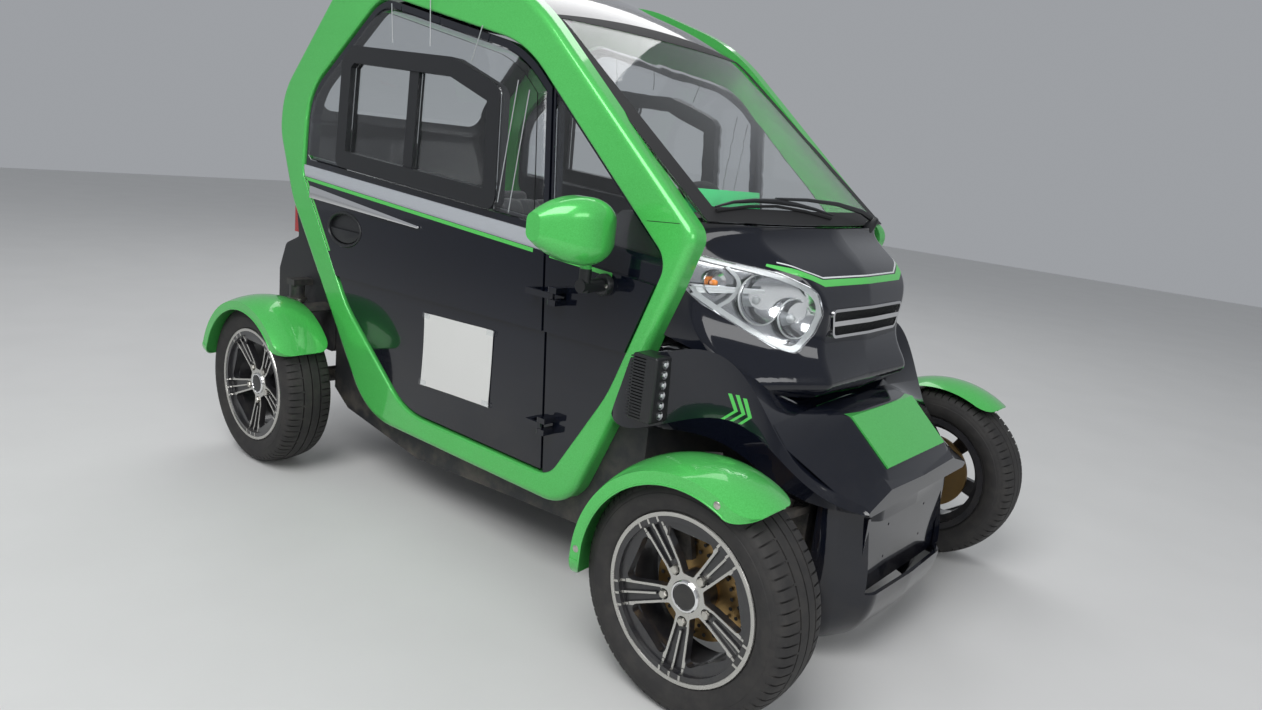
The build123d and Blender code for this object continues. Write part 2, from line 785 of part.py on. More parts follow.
def turned_ring(points, axle_y):
    """Full ring from a half section on the right-hand side."""
    plane = Plane(origin=(0, axle_y, axle_z), x_dir=(1, 0, 0), z_dir=(0, -1, 0))
    with BuildPart(mode=Mode.PRIVATE) as ring:
        with BuildSketch(plane):
            with BuildLine():
                Polyline(*[(-wheel_centre_x - w, r) for w, r in points], close=True)
            make_face()
        revolve(axis=Axis((0, axle_y, axle_z), (1, 0, 0)))
    return ring.part


half_rim = rim_width / 2
seat_half = half_rim - rim_lip
barrel = [
    (-half_rim, rim_lip_radius),
    (-seat_half, rim_lip_radius),
    (-seat_half, rim_seat_radius),
    (-38, rim_seat_radius),
    (-26, rim_well_radius),
    (32, rim_well_radius),
    (42, rim_seat_radius),
    (seat_half, rim_seat_radius),
    (seat_half, rim_lip_radius),
    (half_rim, rim_lip_radius),
    (half_rim, rim_seat_radius - rim_wall),
    (44, rim_seat_radius - rim_wall),
    (34, rim_well_radius - rim_wall),
    (-28, rim_well_radius - rim_wall),
    (-40, rim_seat_radius - rim_wall),
    (-half_rim, rim_seat_radius - rim_wall),
]


def spoke_disc(depth):
    """Half section of the wheel's face, sunk by a depth."""
    (root_r, root_w), (tip_r, tip_w) = spoke_face
    return [
        (tip_w - spoke_thickness, tip_r),
        (tip_w - depth, tip_r),
        (root_w - depth, root_r),
        (root_w - depth, 0),
        (30, 0),
        (30, hub_bore_radius),
        (-5, hub_bore_radius),
        (-5, hub_radius),
        (root_w - spoke_thickness, hub_radius),
        (root_w - spoke_thickness, root_r),
    ]


def spoke_half(radius):
    """Half width of a spoke at a radius."""
    (r0, half0), (r1, half1) = spoke_root, spoke_tip
    return half0 + (half1 - half0) * (radius - r0) / (r1 - r0)


def spoke_window():
    """Rounded opening between two spokes, pointing up."""
    sides = []
    for radius in (spoke_root[0], spoke_tip[0]):
        angle = radians(180 / spoke_count - degrees(asin(spoke_half(radius) / radius)))
        sides.append((radius * sin(angle), radius * cos(angle)))
    (x0, z0), (x1, z1) = sides
    with BuildSketch(mode=Mode.PRIVATE) as shape:
        with BuildLine():
            FilletPolyline((-x0, z0), (-x1, z1), (x1, z1), (x0, z0), radius=(7, 12, 12, 7), close=True)
        make_face()
    return shape.sketch


def spoke_pocket():
    """Sunk field of a spoke with its middle rib left standing, pointing up."""
    low, high = lug_circle + 6, spoke_tip[0] + 4
    x0, x1 = spoke_half(low) - spoke_rail, spoke_half(high) - spoke_rail
    with BuildSketch(mode=Mode.PRIVATE) as shape:
        add(straight_face([(-x0, low), (-x1, high), (x1, high), (x0, low)]))
        with Locations((0, (lug_circle + 20 + high + 2) / 2)):
            Rectangle(2 * spoke_rib_half, high + 2 - lug_circle - 20, mode=Mode.SUBTRACT)
        with Locations((0, lug_circle)):
            Circle(lug_pocket_radius)
    return shape.sketch


def wheel_set(label, axle_y, with_disc):
    """Rim, tyre and brake disc of a right-hand wheel."""
    face_plane = Plane(origin=(-wheel_centre_x, axle_y, axle_z), x_dir=(0, 1, 0), z_dir=(-1, 0, 0))
    with BuildPart() as rim:
        add(turned_ring(spoke_disc(0), axle_y))
        with BuildSketch(face_plane):
            with PolarLocations(0, spoke_count, start_angle=spoke_turn):
                add(spoke_pocket())
        extrude(amount=half_rim, mode=Mode.SUBTRACT)
        add(turned_ring(spoke_disc(pocket_depth), axle_y))
        with BuildSketch(face_plane):
            with PolarLocations(0, spoke_count, start_angle=spoke_turn + 180 / spoke_count):
                add(spoke_window())
            with PolarLocations(lug_circle, spoke_count, start_angle=spoke_turn + 90):
                Circle(lug_hole_radius)
        extrude(amount=half_rim, mode=Mode.SUBTRACT)
        add(turned_ring(barrel, axle_y))
    keep_pair(f"rim_{label}", rim.part)
    tread_edge = tyre_width / 2 - 13
    plane = Plane(origin=(-wheel_centre_x, axle_y, axle_z), x_dir=(1, 0, 0), z_dir=(0, -1, 0))
    with BuildPart() as tyre:
        with BuildSketch(plane):
            with BuildLine():
                bead = seat_half - seat_gap
                foot = rim_seat_radius + seat_gap
                Line((-bead, foot), (bead, foot))
                Line((bead, foot), (bead, rim_lip_radius + 1))
                ThreePointArc((bead, rim_lip_radius + 1), (tyre_width / 2, 214), (tread_edge, tyre_radius - 9))
                ThreePointArc((tread_edge, tyre_radius - 9), (0, tyre_radius), (-tread_edge, tyre_radius - 9))
                ThreePointArc((-tread_edge, tyre_radius - 9), (-tyre_width / 2, 214), (-bead, rim_lip_radius + 1))
                Line((-bead, rim_lip_radius + 1), (-bead, foot))
            make_face()
        revolve(axis=Axis((0, axle_y, axle_z), (1, 0, 0)))
    keep_pair(f"tyre_{label}", tyre.part)
    if with_disc:
        brake_disc = [
            (-10, disc_radius),
            (-10, hub_radius),
            (-5 - seat_gap, hub_radius),
            (-5 - seat_gap, hub_bore_radius + 4),
            (-10 - disc_thickness, hub_bore_radius + 4),
            (-10 - disc_thickness, disc_radius),
        ]
        keep_pair("brake_disc", turned_ring(brake_disc, axle_y))


wheel_set("front", front_axle_y, True)
wheel_set("rear", rear_axle_y, False)

# Steering knuckle with its stub axle, caliper, steering arm and mudguard stay
stub_radius = hub_bore_radius - bearing_gap
upright_x = -steer_axis_x
knuckle = block(upright_x - 16, upright_x + 16, -32, 32, axle_z - steer_ball_rise + 5, axle_z + steer_ball_rise - 5)
stub_plane = Plane(origin=(upright_x, front_axle_y, axle_z), z_dir=(-1, 0, 0))
knuckle = knuckle + extrude(stub_plane * Circle(stub_radius), amount=wheel_centre_x - steer_axis_x + 28)
stud_plane = Plane(origin=(upright_x, front_axle_y, axle_z - steer_ball_rise - 25))
knuckle = knuckle + extrude(stud_plane * Circle(10), amount=2 * steer_ball_rise + 50)
caliper = ring_sector(-wheel_centre_x - 10, -wheel_centre_x + 40, 66, 134, 25, 75, front_axle_y)
caliper = caliper - turned_ring([(-4, 60), (-4, disc_radius + 6), (-26, disc_radius + 6), (-26, 60)], front_axle_y)
caliper = caliper + ring_sector(-wheel_centre_x + 30, -wheel_centre_x + 64, 40, 100, 45, 75, front_axle_y)
knuckle = knuckle + caliper
knuckle = knuckle + block(upright_x - 8, upright_x + 16, 20, 110, axle_z - 60, axle_z - 40)
knuckle = knuckle + block(upright_x + 7, upright_x + 16, 25, 84, axle_z + 36, axle_z + 60)
knuckle = knuckle + block(upright_x + 7, upright_x + 19, 64, 84, axle_z + 36, axle_z + guard_inner_radius - 9)
stay_reach = guard_inner_radius - seat_gap
above_guard = [(140, stay_reach), (-140, stay_reach), (-140, stay_reach + 60), (140, stay_reach + 60)]
knuckle = knuckle - turned_ring(above_guard, front_axle_y)
knuckle = knuckle + ring_sector(-570, -steer_axis_x + 19, guard_inner_radius - 6.5, guard_inner_radius - seat_gap, 70, 80,
                                front_axle_y)
keep_pair("knuckle", knuckle)

# Wishbones and spring struts of the front wheels


def wishbone(z0, z1, window_half):
    """Forked arm from the frame tower to the ball stud."""
    plane = Plane(origin=(0, front_axle_y, z0))
    root_x = -rail_x - 25 - seat_gap
    with BuildPart(mode=Mode.PRIVATE) as arm:
        with BuildSketch(plane):
            with BuildLine():
                Polyline(
                    (root_x, -50), (root_x, 50), (-steer_axis_x, 19), (-steer_axis_x, -19), close=True
                )
            make_face()
            with Locations((-steer_axis_x, 0)):
                Circle(20)
                Circle(10 + bearing_gap, mode=Mode.SUBTRACT)
            if window_half:
                with BuildLine():
                    Polyline(
                        (root_x - 6, -window_half), (root_x - 6, window_half), (-450, 12), (-450, -12), close=True
                    )
                make_face(mode=Mode.SUBTRACT)
        extrude(amount=z1 - z0)
    return arm.part


lower_arm = wishbone(axle_z - steer_ball_rise - 19, axle_z - steer_ball_rise - 1, 0)
upper_arm = wishbone(axle_z + steer_ball_rise + 1, axle_z + steer_ball_rise + 19, 36)
strut_foot = Vector(-420, front_axle_y, axle_z - steer_ball_rise - 1 + seat_gap + 8)
strut_head = Vector(-rail_x - 25 - 22, front_axle_y, tower_top_z - 12)
strut_plane = Plane(origin=strut_foot, z_dir=(strut_head - strut_foot).normalized())
strut = extrude(strut_plane * Circle(20), amount=(strut_head - strut_foot).length)
strut = strut - block(-600, -200, -60, 60, 0, axle_z - steer_ball_rise - 1 + seat_gap)
strut = strut - block(-rail_x - 25 - seat_gap, 0, -60, 60, 0, 600)
keep_both("front_suspension", Compound(children=[lower_arm, upper_arm, strut]))

# Rear axle with its motor, stub ends and trailing arms
axle_plane = Plane(origin=(0, rear_axle_y, axle_z), z_dir=(1, 0, 0))
axle = extrude(axle_plane * Circle(26), amount=wheel_centre_x - 90, both=True)
axle = axle + extrude(axle_plane * Circle(stub_radius), amount=wheel_centre_x + 28, both=True)
axle = axle + extrude(axle_plane * Circle(motor_radius), amount=motor_half_length, both=True)
for side in (-1, 1):
    x0, x1 = sorted((side * 385, side * 415))
    axle = axle + block(x0, x1, tub_back_y + seat_gap, wheelbase, axle_z - 4, axle_z + 22)
    x0, x1 = sorted((side * 480, side * 532))
    axle = axle + block(x0, x1, wheelbase + 10, wheelbase + 84, axle_z - 8, axle_z + 12)
keep("rear_axle", axle)
spring_plane = Plane(origin=(-506, rear_axle_y + 56, axle_z + 12 + seat_gap))
spring = extrude(spring_plane * Circle(24), amount=300)
spring = spring + block(-531, -tail_half_width - seat_gap, wheelbase + 32, wheelbase + 80, 566, 586)
keep_both("rear_suspension", Compound(children=[spring, rear_stay]))

# Mirror shells, swept back to their tips, on round arms
with BuildPart() as mirror_shell:
    for x, middle_y, middle_z, depth, height, corner in mirror_sections:
        with BuildSketch(upright_plane(x)):
            with Locations((middle_y, middle_z)):
                RectangleRounded(depth, height, corner)
    loft()
with BuildPart() as mirrors:
    with BuildSketch(upright_plane(-hoop_face_x + 50)):
        with Locations(mirror_foot):
            Circle(mirror_foot_radius)
    extrude(amount=-35)
    with BuildSketch(upright_plane(-hoop_face_x + 50)):
        with Locations(mirror_foot):
            Circle(mirror_arm_radius)
    extrude(amount=-mirror_arm_reach - 50)
    with BuildSketch(level_plane(mirror_foot[1])):
        with Locations((-hoop_face_x - mirror_arm_reach + mirror_arm_radius, mirror_foot[0])):
            Circle(mirror_arm_radius)
    extrude(amount=mirror_sections[1][2] - mirror_foot[1])
    add(mirror_shell.part)
    add(front_panel.part, mode=Mode.SUBTRACT)
keep_both("mirrors", mirrors.part)

# Lamps on the shoulders
work_lamp = fillet(block(-562, -500, 222, 292, 540, 692).edges(), radius=6)
work_lamp = work_lamp + block(-512, -478, 285, 372, 600, 640)
work_lamp = work_lamp - fairing_form
for room in hoop_rooms:
    work_lamp = work_lamp - room
keep_both("work_lamps", work_lamp)

# Dashboard with its steering column
wheel_axis = Vector(0, cos(radians(steering_tilt)), sin(radians(steering_tilt)))
wheel_centre = Vector(0, front_axle_y + steering_wheel_y, steering_wheel_z)
dash = side_prism([(bonnet_back_y + seat_gap, 984), (bonnet_back_y + seat_gap, 790), (430, 800), (500, 900), (500, 960), (470, 984)], 445)
for room in hoop_rooms:
    dash = dash - room
column_plane = Plane(origin=wheel_centre - wheel_axis * 40, z_dir=-wheel_axis)
column = extrude(column_plane * Circle(24), amount=210)
bore_plane = Plane(origin=wheel_centre - wheel_axis * 30, z_dir=-wheel_axis)
dash = dash + column - extrude(bore_plane * Circle(column_shaft_radius + bearing_gap), amount=80)
keep("dashboard", dash)

wheel_plane = Plane(origin=wheel_centre, x_dir=(1, 0, 0), z_dir=wheel_axis)
with BuildPart() as steering_wheel:
    with BuildSketch(Plane(origin=wheel_centre, x_dir=(1, 0, 0), z_dir=Vector(1, 0, 0).cross(wheel_axis))):
        with Locations((steering_ring_radius, 0)):
            Circle(13)
    revolve(axis=Axis(wheel_centre, wheel_axis))
    with BuildSketch(wheel_plane.offset(-12)):
        Circle(44)
        Rectangle(2 * steering_ring_radius - 10, 30)
        with Locations((0, -steering_ring_radius / 2)):
            Rectangle(34, steering_ring_radius - 10)
    extrude(amount=14)
    with BuildSketch(wheel_plane.offset(-100)):
        Circle(column_shaft_radius)
    extrude(amount=95)
keep("steering_wheel", steering_wheel.part)

# Seats and battery
front_seat = [
    (770, 345, 20),
    (760, 440, 50),
    (1130, 405, 60),
    (1235, 960, 32),
    (1310, 960, 32),
    (1225, 345, 40),
]
rear_seat = [
    (1262, 385, 20),
    (1262, 480, 30),
    (1480, 470, 50),
    (1545, 960, 30),
    (1612, 960, 30),
    (1575, 385, 30),
]
seat_solids = []
for outline, half_width, pedestal in (
    (front_seat, 235, [(840, 168.7), (1160, 150.8), (1160, 350), (840, 350)]),
    (rear_seat, 300, [(1400, 385), (1500, 385), (1500, 400), (1400, 400)]),
):
    with BuildPart() as seat:
        with BuildSketch(upright_plane(-half_width)):
            add(rounded_face(outline))
        extrude(amount=2 * half_width)
        add(side_prism(pedestal, 170))
    seat_solids.append(seat.part)
keep("seats", Compound(children=seat_solids))
keep("battery", side_prism([(1240, 160.9), (1545, 206.2), (1545, 385 - seat_gap), (1240, 385 - seat_gap)], 330))
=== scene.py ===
"""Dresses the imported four-wheeled velomobile: paint, tread, lamps, trim, seats, floor, lights and camera."""
import math

import bmesh
import bpy
from mathutils import Matrix, Vector
from mathutils.bvhtree import BVHTree


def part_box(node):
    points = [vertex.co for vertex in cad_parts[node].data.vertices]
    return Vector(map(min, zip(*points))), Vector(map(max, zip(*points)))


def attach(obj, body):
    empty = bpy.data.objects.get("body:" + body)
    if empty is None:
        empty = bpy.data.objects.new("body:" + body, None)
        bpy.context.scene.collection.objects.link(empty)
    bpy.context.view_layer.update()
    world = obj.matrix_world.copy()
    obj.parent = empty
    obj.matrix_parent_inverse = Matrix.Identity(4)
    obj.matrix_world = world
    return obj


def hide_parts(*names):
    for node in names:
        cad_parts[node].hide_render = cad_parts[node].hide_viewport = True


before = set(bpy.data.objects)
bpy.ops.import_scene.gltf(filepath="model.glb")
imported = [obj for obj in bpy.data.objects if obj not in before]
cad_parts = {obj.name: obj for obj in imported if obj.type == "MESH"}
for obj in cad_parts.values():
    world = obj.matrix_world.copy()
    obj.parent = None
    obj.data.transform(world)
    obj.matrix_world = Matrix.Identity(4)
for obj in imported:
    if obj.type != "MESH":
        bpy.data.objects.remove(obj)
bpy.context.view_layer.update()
collection = bpy.context.scene.collection


def centre(name):
    """Middle of a node's box at rest."""
    low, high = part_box(name)
    return (Vector(low) + Vector(high)) / 2


front_hub = centre("tyre_front_right")
rear_hub = centre("tyre_rear_right")
axle_y = front_hub.y
axle_z = front_hub.z
wheel_x = -front_hub.x
tyre_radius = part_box("tyre_front_right")[1].z - axle_z

# Camera that took the photograph: millimetres for its sensor and lens, metres for its place
sensor_width = 36.0
camera_lens = 25.2
camera_behind_front_axle = -0.9075
camera_x = -2.042
camera_height = 1.128
camera_yaw = math.radians(50.87)
camera_pitch = math.radians(13.12)
camera_roll = math.radians(6.34)


def add_camera():
    across = Vector((math.cos(camera_yaw), -math.sin(camera_yaw), 0))
    level = math.cos(camera_pitch)
    ahead = Vector((math.sin(camera_yaw) * level, math.cos(camera_yaw) * level, -math.sin(camera_pitch)))
    upward = across.cross(ahead)
    right = math.cos(camera_roll) * across + math.sin(camera_roll) * upward
    top = -math.sin(camera_roll) * across + math.cos(camera_roll) * upward
    data = bpy.data.cameras.new("view")
    data.sensor_width = sensor_width
    data.sensor_fit = "HORIZONTAL"
    data.lens = camera_lens
    data.clip_end = 100
    camera = bpy.data.objects.new("view", data)
    spot = Matrix((right, top, -ahead)).transposed().to_4x4()
    spot.translation = (camera_x, axle_y + camera_behind_front_axle, camera_height)
    camera.matrix_world = spot
    collection.objects.link(camera)
    bpy.context.scene.camera = camera


# Shared surface effects


def node_group(name, inputs, outputs):
    """Empty shader group with named inputs (name, default) and outputs (name, kind)."""
    group = bpy.data.node_groups.new(name, "ShaderNodeTree")
    for label, value in inputs:
        socket = group.interface.new_socket(label, in_out="INPUT", socket_type="NodeSocketFloat")
        socket.default_value = value
    for label, kind in outputs:
        group.interface.new_socket(label, in_out="OUTPUT", socket_type=kind)
    return group, group.nodes.new("NodeGroupInput"), group.nodes.new("NodeGroupOutput")


def add_node(tree, kind, settings=None, **inputs):
    """Node of a tree with its settings; an input, by name or _number, takes a value or an output."""
    node = tree.nodes.new(kind)
    for label, value in (settings or {}).items():
        setattr(node, label, value)
    for label, value in inputs.items():
        socket = node.inputs[int(label[1:]) if label[0] == "_" else label.replace("_", " ").title()]
        if isinstance(value, bpy.types.NodeSocket):
            tree.links.new(value, socket)
        else:
            socket.default_value = value
    return node


def object_place(tree):
    return tree.nodes.new("ShaderNodeTexCoord").outputs["Object"]


def math_of(tree, operation, a, b, c=None, clamp=False):
    """Output of a math node on numbers or outputs."""
    given = {f"_{i}": value for i, value in enumerate((a, b, c)) if value is not None}
    return add_node(tree, "ShaderNodeMath", {"operation": operation, "use_clamp": clamp}, **given).outputs[0]


def make_road_dust():
    """Dust that settles low down and in patches: a mask from 0 to 1."""
    group, given, result = node_group(
        "road_dust", [("Height", 0.45), ("Patch Size", 9.0), ("Amount", 0.5)], [("Mask", "NodeSocketFloat")]
    )
    place = object_place(group)
    up = add_node(group, "ShaderNodeSeparateXYZ", _0=place).outputs["Z"]
    noise = add_node(group, "ShaderNodeTexNoise", Vector=place, Scale=given.outputs["Patch Size"], Detail=6,
                     Roughness=0.65)
    spread = add_node(group, "ShaderNodeMapRange", Value=noise.outputs["Fac"], From_Min=0.42, From_Max=0.72)
    low = math_of(group, "SUBTRACT", 1.15, math_of(group, "DIVIDE", up, given.outputs["Height"]), clamp=True)
    both = math_of(group, "MULTIPLY", spread.outputs["Result"], low)
    mask = math_of(group, "MULTIPLY", both, given.outputs["Amount"], clamp=True)
    group.links.new(mask, result.inputs["Mask"])
    return group


def make_fine_grain():
    """Height of a moulded or cast surface: fine grain over slow waves."""
    inputs = [("Grain", 900.0), ("Waves", 12.0), ("Wave Share", 0.3)]
    group, given, result = node_group("fine_grain", inputs, [("Height", "NodeSocketFloat")])
    place = object_place(group)
    fine = add_node(group, "ShaderNodeTexNoise", Vector=place, Scale=given.outputs["Grain"], Detail=2)
    slow = add_node(group, "ShaderNodeTexNoise", Vector=place, Scale=given.outputs["Waves"], Detail=3)
    blend = add_node(group, "ShaderNodeMix", {"data_type": "FLOAT"}, Factor=given.outputs["Wave Share"],
                     A=fine.outputs["Fac"], B=slow.outputs["Fac"])
    group.links.new(blend.outputs["Result"], result.inputs["Height"])
    return group


def make_flake():
    """Shimmer of metallic paint: cells that differ a little, with slow cloudiness."""
    group, given, result = node_group(
        "paint_flake", [("Flake Scale", 700.0), ("Cloud Scale", 3.0)], [("Value", "NodeSocketFloat")]
    )
    place = object_place(group)
    cells = add_node(group, "ShaderNodeTexVoronoi", Vector=place, Scale=given.outputs["Flake Scale"])
    cloud = add_node(group, "ShaderNodeTexNoise", Vector=place, Scale=given.outputs["Cloud Scale"])
    part = add_node(group, "ShaderNodeSeparateColor", _0=cells.outputs["Color"])
    blend = add_node(group, "ShaderNodeMix", {"data_type": "FLOAT"}, Factor=0.5, A=part.outputs[0],
                     B=cloud.outputs["Fac"])
    group.links.new(blend.outputs["Result"], result.inputs["Value"])
    return group


# Wheel face of the CAD, metres: its hub, its dished slope and the half width of a spoke
face_hub_radius = 0.072
face_slope = 0.1547
face_outboard = 0.044
face_tolerance = 0.0025
bright_hub_radius = 0.085
bright_spoke_half = 0.0290
bright_end_radius = 0.1490
spoke_half_angle = math.pi / 5


def make_machined_face():
    """Mask of a wheel's hub and spokes where they stand proud of their sunk fields, out to the rails."""
    group, given, result = node_group("machined_face", [("Axle Y", 0.0)], [("Mask", "NodeSocketFloat")])

    def of(operation, a, b=None, c=None):
        return math_of(group, operation, a, b, c)

    split = add_node(group, "ShaderNodeSeparateXYZ", _0=object_place(group))
    behind = of("SUBTRACT", split.outputs["Y"], given.outputs["Axle Y"])
    above = of("SUBTRACT", split.outputs["Z"], axle_z)
    radius = of("SQRT", of("ADD", of("MULTIPLY", behind, behind), of("MULTIPLY", above, above)))
    outboard = of("SUBTRACT", of("ABSOLUTE", split.outputs["X"]), wheel_x)
    slope = of("MULTIPLY", of("MAXIMUM", of("SUBTRACT", radius, face_hub_radius), 0.0), face_slope)
    proud = of("SUBTRACT", outboard, of("ADD", slope, face_outboard - face_tolerance))
    turn = of("WRAP", of("ARCTAN2", behind, of("MULTIPLY", above, -1.0)), spoke_half_angle, -spoke_half_angle)
    aside = of("MULTIPLY", of("ABSOLUTE", turn), radius)
    spoke = of("MAXIMUM", of("SUBTRACT", bright_spoke_half, aside), of("SUBTRACT", bright_hub_radius, radius))
    within = of("MINIMUM", spoke, of("SUBTRACT", bright_end_radius, radius))
    both = of("MINIMUM", proud, within)
    mask = add_node(group, "ShaderNodeMapRange", Value=both, From_Min=0.0, From_Max=0.0006)
    group.links.new(mask.outputs["Result"], result.inputs["Mask"])
    return group


road_dust = make_road_dust()
fine_grain = make_fine_grain()
paint_flake = make_flake()
machined_face = make_machined_face()


class Finish:
    """A material under construction, with its Principled shader and short ways to join nodes."""

    def __init__(self, name, color, rough, metal=0.0, coat=0.0, **constants):
        self.material = bpy.data.materials.new(name)
        self.material.use_nodes = True
        self.tree = self.material.node_tree
        self.shader = self.tree.nodes["Principled BSDF"]
        self.shader.inputs["Base Color"].default_value = (*color, 1)
        self.shader.inputs["Roughness"].default_value = rough
        self.shader.inputs["Metallic"].default_value = metal
        self.shader.inputs["Coat Weight"].default_value = coat
        self.shader.inputs["Coat Roughness"].default_value = 0.04
        for label, value in constants.items():
            self.shader.inputs[label.replace("_", " ").title().replace("Ior", "IOR")].default_value = value

    def group(self, tree, **values):
        return add_node(self.tree, "ShaderNodeGroup", {"node_tree": tree}, **values)

    def noise(self, scale, detail=4.0):
        place = object_place(self.tree)
        node = add_node(self.tree, "ShaderNodeTexNoise", Vector=place, Scale=scale, Detail=detail)
        return node.outputs["Fac"]

    def blend(self, label, kind, factor, other):
        """Input mixed from what it holds to another value by a factor."""
        socket = self.shader.inputs[label]
        held = socket.links[0].from_socket if socket.is_linked else socket.default_value
        node = add_node(self.tree, "ShaderNodeMix", {"data_type": kind}, Factor=factor, A=held, B=other)
        self.tree.links.new(node.outputs["Result"], socket)
        return self

    def mixed_color(self, factor, other):
        return self.blend("Base Color", "RGBA", factor, (*other, 1))

    def mixed(self, label, factor, other):
        return self.blend(label, "FLOAT", factor, other)

    def bump(self, height, strength, distance):
        node = add_node(self.tree, "ShaderNodeBump", Strength=strength, Distance=distance, Height=height)
        socket = self.shader.inputs["Normal"]
        if socket.is_linked:
            self.tree.links.new(socket.links[0].from_socket, node.inputs["Normal"])
        self.tree.links.new(node.outputs["Normal"], socket)
        return self

    def dusty(self, height, amount, size=9.0, color=(0.19, 0.165, 0.13)):
        mask = self.group(road_dust, height=height, patch_size=size, amount=amount).outputs["Mask"]
        self.mixed_color(mask, color)
        self.mixed("Roughness", mask, 0.85)
        if self.shader.inputs["Coat Weight"].default_value > 0:
            self.mixed("Coat Weight", mask, 0.05)
        return self

    def grained(self, grain, waves, share, strength, distance=0.0006):
        height = self.group(fine_grain, grain=grain, waves=waves, wave_share=share).outputs["Height"]
        return self.bump(height, strength, distance)


def solid(name, color, rough, metal, coat, grain, dust=None):
    """Opaque finish; grain is (size, waves, wave share, strength) and dust (height, amount, patch size)."""
    finish = Finish(name, color, rough, metal, coat).grained(*grain)
    if dust:
        finish.dusty(*dust)
    return finish.material


def paint(name, dark, light, rough, metal, flake, cloud, dust):
    """Clear-coated metallic paint with a slow orange peel."""
    finish = Finish(name, dark, rough, metal, coat=1.0, specular_ior_level=0.1)
    shimmer = finish.group(paint_flake, flake_scale=flake, cloud_scale=cloud).outputs["Value"]
    finish.mixed_color(shimmer, light)
    finish.grained(260, 26, 0.65, 0.06, 0.0004)
    finish.mixed("Roughness", finish.noise(5.0), rough + 0.06)
    return finish.dusty(0.5, dust).material


def glass(name, tint, rough=0.0, ior=1.45):
    """Clear sheet that lets daylight through to what is behind it."""
    finish = Finish(name, tint, rough, ior=ior, transmission_weight=1.0)
    ray = finish.tree.nodes.new("ShaderNodeLightPath").outputs["Is Shadow Ray"]
    clearness = math_of(finish.tree, "MULTIPLY_ADD", ray, -0.85, 1.0)
    finish.tree.links.new(clearness, finish.shader.inputs["Alpha"])
    return finish.mixed("Roughness", finish.noise(6.0, 6.0), rough + 0.03).material


def rim_finish(name, hub):
    """Black wheel with its proud face turned bright on a lathe."""
    finish = Finish(name, (0.017, 0.017, 0.02), 0.32, 0.0, coat=0.6)
    mask = finish.group(machined_face, axle_y=hub.y).outputs["Mask"]
    finish.mixed_color(mask, (0.58, 0.57, 0.54))
    finish.mixed("Roughness", mask, 0.24)
    finish.mixed("Metallic", mask, 0.95)
    place = object_place(finish.tree)
    shift = add_node(finish.tree, "ShaderNodeMapping", Vector=place, Location=(0, -hub.y, -hub.z))
    rings = add_node(finish.tree, "ShaderNodeTexWave", {"wave_type": "RINGS", "rings_direction": "X"},
                     Vector=shift.outputs["Vector"], Scale=260, Distortion=0.6)
    finish.bump(rings.outputs["Fac"], 0.12, 0.0002)
    return finish.dusty(0.5, 0.12, 30).material


green_paint = paint("green_paint", (0.060, 0.46, 0.075), (0.115, 0.64, 0.150), 0.26, 0.20, 700, 2.5, 0.08)
black_paint = paint("black_paint", (0.0035, 0.004, 0.006), (0.005, 0.007, 0.016), 0.10, 0.0, 900, 2.0, 0.12)
roof_paint = paint("roof_paint", (0.005, 0.005, 0.007), (0.008, 0.009, 0.012), 0.14, 0.0, 900, 2.0, 0.05)
silver_trim = solid("silver_trim", (0.66, 0.69, 0.73), 0.28, 0.55, 0.5, (500, 6, 0.5, 0.06), (1.0, 0.10, 18))
chrome = solid("chrome", (0.86, 0.86, 0.87), 0.07, 1.0, 0.0, (40, 9, 0.7, 0.04), (0.9, 0.12, 20))
dark_plastic = solid("dark_plastic", (0.020, 0.021, 0.024), 0.55, 0, 0, (850, 14, 0.15, 0.5), (0.55, 0.6, 12))
black_frame = solid("black_frame", (0.014, 0.015, 0.017), 0.38, 0.0, 0.0, (700, 10, 0.2, 0.3), (0.6, 0.2, 14))
# Black rubber; the same black is also painted shade in the brake disc holes and behind the grille's slots.
black_rubber_and_painted_shade = solid("black_rubber_and_painted_shade", (0.012, 0.012, 0.013), 0.62, 0, 0, (500, 20, 0.3, 0.35), (0.7, 0.25, 18))
tyre_rubber = solid("tyre_rubber", (0.022, 0.021, 0.021), 0.72, 0.0, 0.0, (420, 60, 0.35, 0.45),
                    (1.4, 0.28, 26, (0.085, 0.078, 0.068)))
steel_coat = solid("coated_steel", (0.022, 0.022, 0.024), 0.45, 0.0, 0.2, (300, 20, 0.4, 0.3), (0.8, 0.7, 20))
disc_steel = solid("disc_steel", (0.42, 0.27, 0.11), 0.36, 0.9, 0.0, (600, 40, 0.3, 0.2), (0.9, 0.3, 40))
bolt_steel = solid("bolt_steel", (0.62, 0.60, 0.55), 0.28, 1.0, 0.0, (900, 60, 0.3, 0.2), (0.9, 0.3, 60))
clear_glass = glass("clear_glass", (0.93, 0.95, 0.95))
clear_pane = glass("clear_pane", (0.90, 0.92, 0.93), 0.01, 1.49)
lamp_glass = glass("lamp_glass", (0.97, 0.98, 0.98), 0.0, 1.30)
lamp_silver = solid("lamp_silver", (0.66, 0.67, 0.69), 0.14, 0.95, 0.0, (60, 18, 0.6, 0.15))
lamp_frost = solid("lamp_frost", (0.42, 0.44, 0.45), 0.28, 0.3, 0.5, (300, 30, 0.4, 0.1))
amber = solid("amber_lens", (0.85, 0.25, 0.02), 0.15, 0.0, 0.8, (300, 30, 0.4, 0.1))
red_lens = solid("red_lens", (0.42, 0.012, 0.010), 0.12, 0.0, 1.0, (420, 30, 0.3, 0.35))
light_line = solid("white_line", (0.75, 0.77, 0.78), 0.25, 0.0, 0.6, (300, 20, 0.5, 0.05))
green_line = solid("green_line", (0.09, 0.58, 0.10), 0.3, 0.0, 0.6, (300, 20, 0.5, 0.05))
paper = solid("paper", (0.70, 0.70, 0.68), 0.7, 0.0, 0.0, (700, 9, 0.5, 0.25))
